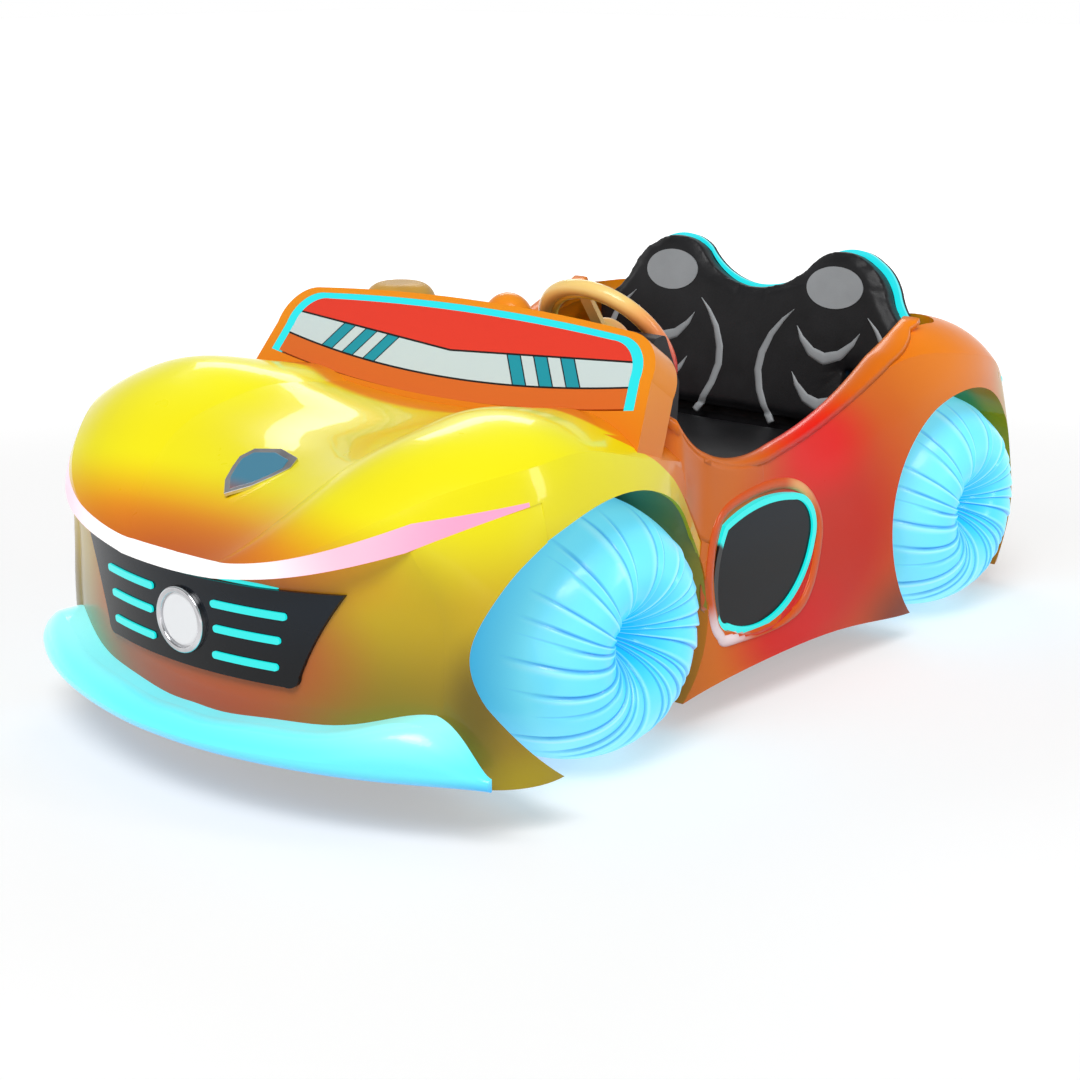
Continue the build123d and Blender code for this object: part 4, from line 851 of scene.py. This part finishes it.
def makeBadge(settings):
    top = castDown(fasciaTree, 0, settings["y"] + settings["above"])
    low = castDown(fasciaTree, 0, settings["y"] - settings["below"])
    up = (top - low).normalized()
    normal = Vector((1, 0, 0)).cross(up)
    centre = (top + low) / 2
    lift = max(0.0, (castDown(fasciaTree, settings["beside"], settings["y"]) - centre).dot(normal))
    for name, scale, material, slotName, rise in settings["layers"]:
        bm = bmesh.new()
        proud = normal * (lift + rise + settings["thick"] * 0.5)
        points = []
        for u, v in settings["outline"]:
            flat = Vector((u * settings["width"] * scale, 0, 0)) + up * (v * settings["height"] * scale)
            points.append(bm.verts.new(centre + flat + proud))
        made = bmesh.ops.extrude_face_region(bm, geom=[bm.faces.new(points)])["geom"]
        bmesh.ops.translate(bm, vec=-normal * settings["thick"], verts=vertsOf(made))
        bmesh.ops.recalc_face_normals(bm, faces=bm.faces)
        long = [e for e in bm.edges if e.calc_length() > settings["bevelFrom"]]
        bmesh.ops.bevel(bm, geom=long, offset=settings["bevel"], segments=2, profile=0.5, affect="EDGES",
                        material=-1)
        makeObject(name, bm, material, smooth=False)


makeBadge(badge)

# Small lights at the tail
tailLight = {"y": 1.01, "z": 0.494, "size": (0.007, 0.018, 0.013), "segments": 24, "rings": 12}
for side, word in sides:
    place = castSide(shellTree, side, tailLight["y"], tailLight["z"])
    makeBlob("tail_light_" + word, place, tailLight, stripLight)
print("lights and badge made")

# Moulded hood over the instruments
instrumentHood = {"centre": (0.03, -0.195, 0.742), "size": (0.055, 0.045, 0.056), "segments": 40, "rings": 24}
makeBlob("instrument_hood", instrumentHood["centre"], instrumentHood, surroundPaint)

# Steering wheel: dark inlay line and bright inner ring on the rim, each with its radius, rise and thickness
rim = {"centre": (0.199, -0.095, 0.708), "lean": 54.6, "segments": 12, "steps": 96, "rings": [
    ("rim_inlay", 0.1245, 0.0065, 0.0032, blackGloss, "black_gloss"),
    ("rim_inner", 0.1205, -0.0005, 0.0065, rimYellow, "orange_paint")]}


def makeRimRing(name, radius, rise, tube, material, slotName, settings):
    turn = Matrix.Rotation(-radians(settings["lean"]), 4, "X")
    bm = bmesh.new()
    loop = bmesh.ops.create_circle(bm, segments=settings["segments"], radius=tube)["verts"]
    bmesh.ops.rotate(bm, cent=(0, 0, 0), matrix=Matrix.Rotation(pi / 2, 3, "X"), verts=loop)
    bmesh.ops.translate(bm, vec=(radius, 0, rise), verts=loop)
    bmesh.ops.spin(bm, geom=list(bm.verts) + list(bm.edges), cent=(0, 0, 0), axis=(0, 0, 1), angle=2 * pi,
                   steps=settings["steps"], use_merge=True)
    bmesh.ops.remove_doubles(bm, verts=bm.verts, dist=0.0001)
    bmesh.ops.transform(bm, matrix=Matrix.Translation(settings["centre"]) @ turn, verts=bm.verts)
    makeObject(name, bm, material, "steering_wheel")


for ringSettings in rim["rings"]:
    makeRimRing(*ringSettings, rim)
print("steering wheel dressed")

# Seats: the pads a little smaller, swollen by a cloth simulation, then the grey inlays laid on
pads = {"voxel": 0.006, "pressure": 4.0, "frames": 20, "nodes": {
    "seat_back": {"shrink": 0.004, "cap": 0.01, "levels": 1, "fill": 0.75},
    "seat_cushion": {"shrink": 0.005, "cap": 0.014, "levels": 0, "fill": 0.7}}}


def applyModifiers(obj):
    graph = bpy.context.evaluated_depsgraph_get()
    graph.update()
    mesh = bpy.data.meshes.new_from_object(obj.evaluated_get(graph))
    obj.modifiers.clear()
    obj.data = mesh


def shrunkCopy(node, name, shrink):
    bm = bmesh.new()
    bm.from_mesh(node.data)
    bmesh.ops.remove_doubles(bm, verts=bm.verts, dist=0.0001)
    bmesh.ops.recalc_face_normals(bm, faces=bm.faces)
    middle = sum((v.co for v in bm.verts), Vector()) / len(bm.verts)
    size = Vector([max(v.co[i] for v in bm.verts) - min(v.co[i] for v in bm.verts) for i in range(3)])
    factor = [1 - 2 * shrink / size[i] for i in range(3)]
    for vert in bm.verts:
        vert.co = Vector([middle[i] + (vert.co[i] - middle[i]) * factor[i] for i in range(3)])
    return meshObject(name, bm)


def inflate(pad, cap, settings):  # no vertex moves farther than the cap
    scene = bpy.context.scene
    start = [v.co.copy() for v in pad.data.vertices]
    cloth = pad.modifiers.new("filling", "CLOTH")
    cloth.settings.use_pressure = True
    cloth.settings.uniform_pressure_force = settings["pressure"]
    cloth.settings.effector_weights.gravity = 0
    cloth.point_cache.frame_start = 1
    cloth.point_cache.frame_end = settings["frames"]
    for number in range(1, settings["frames"] + 1):
        scene.frame_set(number)
    applyModifiers(pad)
    for vert, before in zip(pad.data.vertices, start):
        move = vert.co - before
        if move.length > cap:
            vert.co = before + move.normalized() * cap
    scene.frame_set(1)


def makePad(nodeName, own, settings):
    pad = shrunkCopy(cad[nodeName], nodeName + "_pad", own["shrink"])
    remesh = pad.modifiers.new("voxels", "REMESH")
    remesh.mode = "VOXEL"
    remesh.voxel_size = settings["voxel"]
    applyModifiers(pad)
    inflate(pad, own["cap"], settings)
    pad.data.name = pad.name
    if own["levels"]:
        smoother = pad.modifiers.new("smoother", "SUBSURF")
        smoother.levels = own["levels"]
        smoother.render_levels = own["levels"]
        applyModifiers(pad)
    for polygon in pad.data.polygons:
        polygon.use_smooth = True
    pad.data.materials.clear()
    pad.data.materials.append(blackLeather)
    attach(pad, "chassis")
    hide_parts(nodeName)
    return pad


madePads = {name: makePad(name, own, pads) for name, own in pads["nodes"].items()}
print("pads made")

# Grey inlays on the seat back: centre lines in the back's plane, with their half widths
inlays = {
    "foot": (0.0, 0.629, 0.407), "lean": 12.8, "thick": 0.006, "rise": 0.0025, "crown": 0.8, "seatX": 0.225,
    "between": 6, "probe": 0.1, "outerPoints": 5,
    "lines": {
        "inner_stripe": [
            (-0.096, 0.262, 0.0005), (-0.122, 0.236, 0.0045), (-0.148, 0.2, 0.0075), (-0.166, 0.155, 0.0095),
            (-0.17, 0.115, 0.0095), (-0.158, 0.07, 0.009), (-0.134, 0.024, 0.0085), (-0.118, 0.0, 0.008)],
        "upper_chevron": [
            (-0.082, 0.226, 0.0005), (-0.066, 0.2, 0.006), (-0.036, 0.172, 0.011), (0.0, 0.16, 0.0135),
            (0.036, 0.172, 0.011), (0.066, 0.2, 0.006), (0.082, 0.226, 0.0005)],
        "lower_chevron": [
            (-0.078, 0.122, 0.0005), (-0.062, 0.096, 0.006), (-0.034, 0.068, 0.011), (0.0, 0.056, 0.0135),
            (0.034, 0.068, 0.011), (0.062, 0.096, 0.006), (0.078, 0.122, 0.0005)],
    },
}
padTree = surfaceOf(madePads["seat_back"])


def makeInlay(name, line, settings, flip, seatX):
    lean = radians(settings["lean"])
    up = Vector((0, sin(lean), cos(lean)))
    front = Vector((0, -cos(lean), sin(lean)))
    foot = Vector(settings["foot"])
    count = settings["between"]
    dense = []
    for start, end in zip(line, line[1:]):
        dense += [tuple(a + (b - a) * t / count for a, b in zip(start, end)) for t in range(count)]
    dense.append(line[-1])

    def place(u, v):
        spot = foot + Vector((seatX + flip * u, 0, 0)) + up * v
        return padTree.ray_cast(spot + front * settings["probe"], -front)[0] or spot

    def ring(index):
        u, v, half = dense[index]
        before, after = neighbours(dense, index)
        along = Vector((after[0] - before[0], after[1] - before[1])).normalized()
        across = Vector((-along.y, along.x))

        def spot(share):
            return place(u + across.x * half * share, v + across.y * half * share)

        crown = [spot(share) + front * settings["rise"] * (1 - settings["crown"] * abs(share))
                 for share in (-1, -0.5, 0, 0.5, 1)]
        return crown + [spot(share) - front * settings["thick"] for share in (1, -1)]

    makeSwept(name, dense, ring, greyLeather)


for side, word in sides:
    seatX = side * inlays["seatX"]
    for label, line in inlays["lines"].items():
        makeInlay("seat_" + label + "_" + word, line, inlays, side, seatX)
    outerLine = inlays["lines"]["inner_stripe"][:inlays["outerPoints"]]
    makeInlay("seat_outer_stripe_" + word, outerLine, inlays, -side, seatX)
print("seat inlays made")

# Floor, world, lamps and camera
studio = {"floorSize": 40, "floorTone": 0.6, "floorGlow": 0.42, "floorFade": (2.0, 6.0), "floorRough": 0.9,
          "floorShine": 0.1, "worldStrength": 0.58, "overhead": 0.35, "overheadFade": (0.05, 0.55)}
lamps = [("sun", "SUN", (1.6, -2.6, 4.4), (0, 0, 0), 1.6, 32),
         ("keyBox", "AREA", (1.0, -3.4, 3.8), (0, -0.4, 0.5), 52, (2.6, 0.9)),
         ("fillBox", "AREA", (4.2, 0.8, 2.2), (0.3, 0.2, 0.4), 30, (0.7, 2.0)),
         ("rimBox", "AREA", (-2.8, 2.8, 3.2), (0, 0.2, 0.5), 34, (2.4, 1.0))]
view = {"place": (2.6388, -3.1988, 1.4276), "target": (0.364, -0.4956, 0.42), "lens": 67.95}


def grey(tone):
    return (tone, tone, tone, 1)


def aim(obj, place, target):
    obj.location = place
    obj.rotation_euler = (Vector(target) - Vector(place)).to_track_quat("-Z", "Y").to_euler()


def makeFloor(settings):
    bm = bmesh.new()
    bmesh.ops.create_grid(bm, x_segments=1, y_segments=1, size=settings["floorSize"])
    floor = meshObject("studioFloor", bm)
    material, tree, shader = blankMaterial("floorPaper")
    shader.inputs["Base Color"].default_value = grey(settings["floorTone"])
    shader.inputs["Roughness"].default_value = settings["floorRough"]
    shader.inputs["Specular IOR Level"].default_value = settings["floorShine"]
    shader.inputs["Emission Color"].default_value = grey(1)
    away = vectorNode(tree, "LENGTH", objectPlace(tree), output="Value")
    farShare = step(tree, away, *settings["floorFade"])
    glow = mathNode(tree, "MULTIPLY_ADD", farShare, 1 - settings["floorGlow"], settings["floorGlow"])
    tree.links.new(mathNode(tree, "MULTIPLY", glow, seenDirectly(tree)), shader.inputs["Emission Strength"])
    floor.data.materials.append(material)


def makeWorld(settings):  # white where it is seen, grey overhead so that gloss stays deep
    world = bpy.data.worlds.new("studio")
    bpy.context.scene.world = world
    world.use_nodes = True
    tree = world.node_tree
    background = tree.nodes["Background"]
    heading = tree.nodes.new("ShaderNodeTexCoord").outputs["Generated"]
    overhead = step(tree, split(tree, heading)["Z"], *settings["overheadFade"])
    tree.links.new(mixColour(tree, overhead, grey(1), grey(settings["overhead"])), background.inputs["Color"])
    level = mathNode(tree, "MULTIPLY_ADD", seenDirectly(tree), 1 - settings["worldStrength"],
                     settings["worldStrength"])
    tree.links.new(level, background.inputs["Strength"])


def addLamp(name, kind, place, target, power, spread):  # angle of the sun or sides of a box
    lamp = bpy.data.lights.new(name, kind)
    lamp.energy = power
    if kind == "SUN":
        lamp.angle = radians(spread)
    else:
        lamp.shape = "RECTANGLE"
        lamp.size, lamp.size_y = spread
    aim(addToScene(name, lamp), place, target)


makeFloor(studio)
makeWorld(studio)
for lampSettings in lamps:
    addLamp(*lampSettings)

camera = addToScene("camera", bpy.data.cameras.new("camera"))
aim(camera, view["place"], view["target"])
camera.data.lens = view["lens"]
bpy.context.scene.camera = camera
bpy.context.scene.view_settings.view_transform = "Standard"
print("studio set")
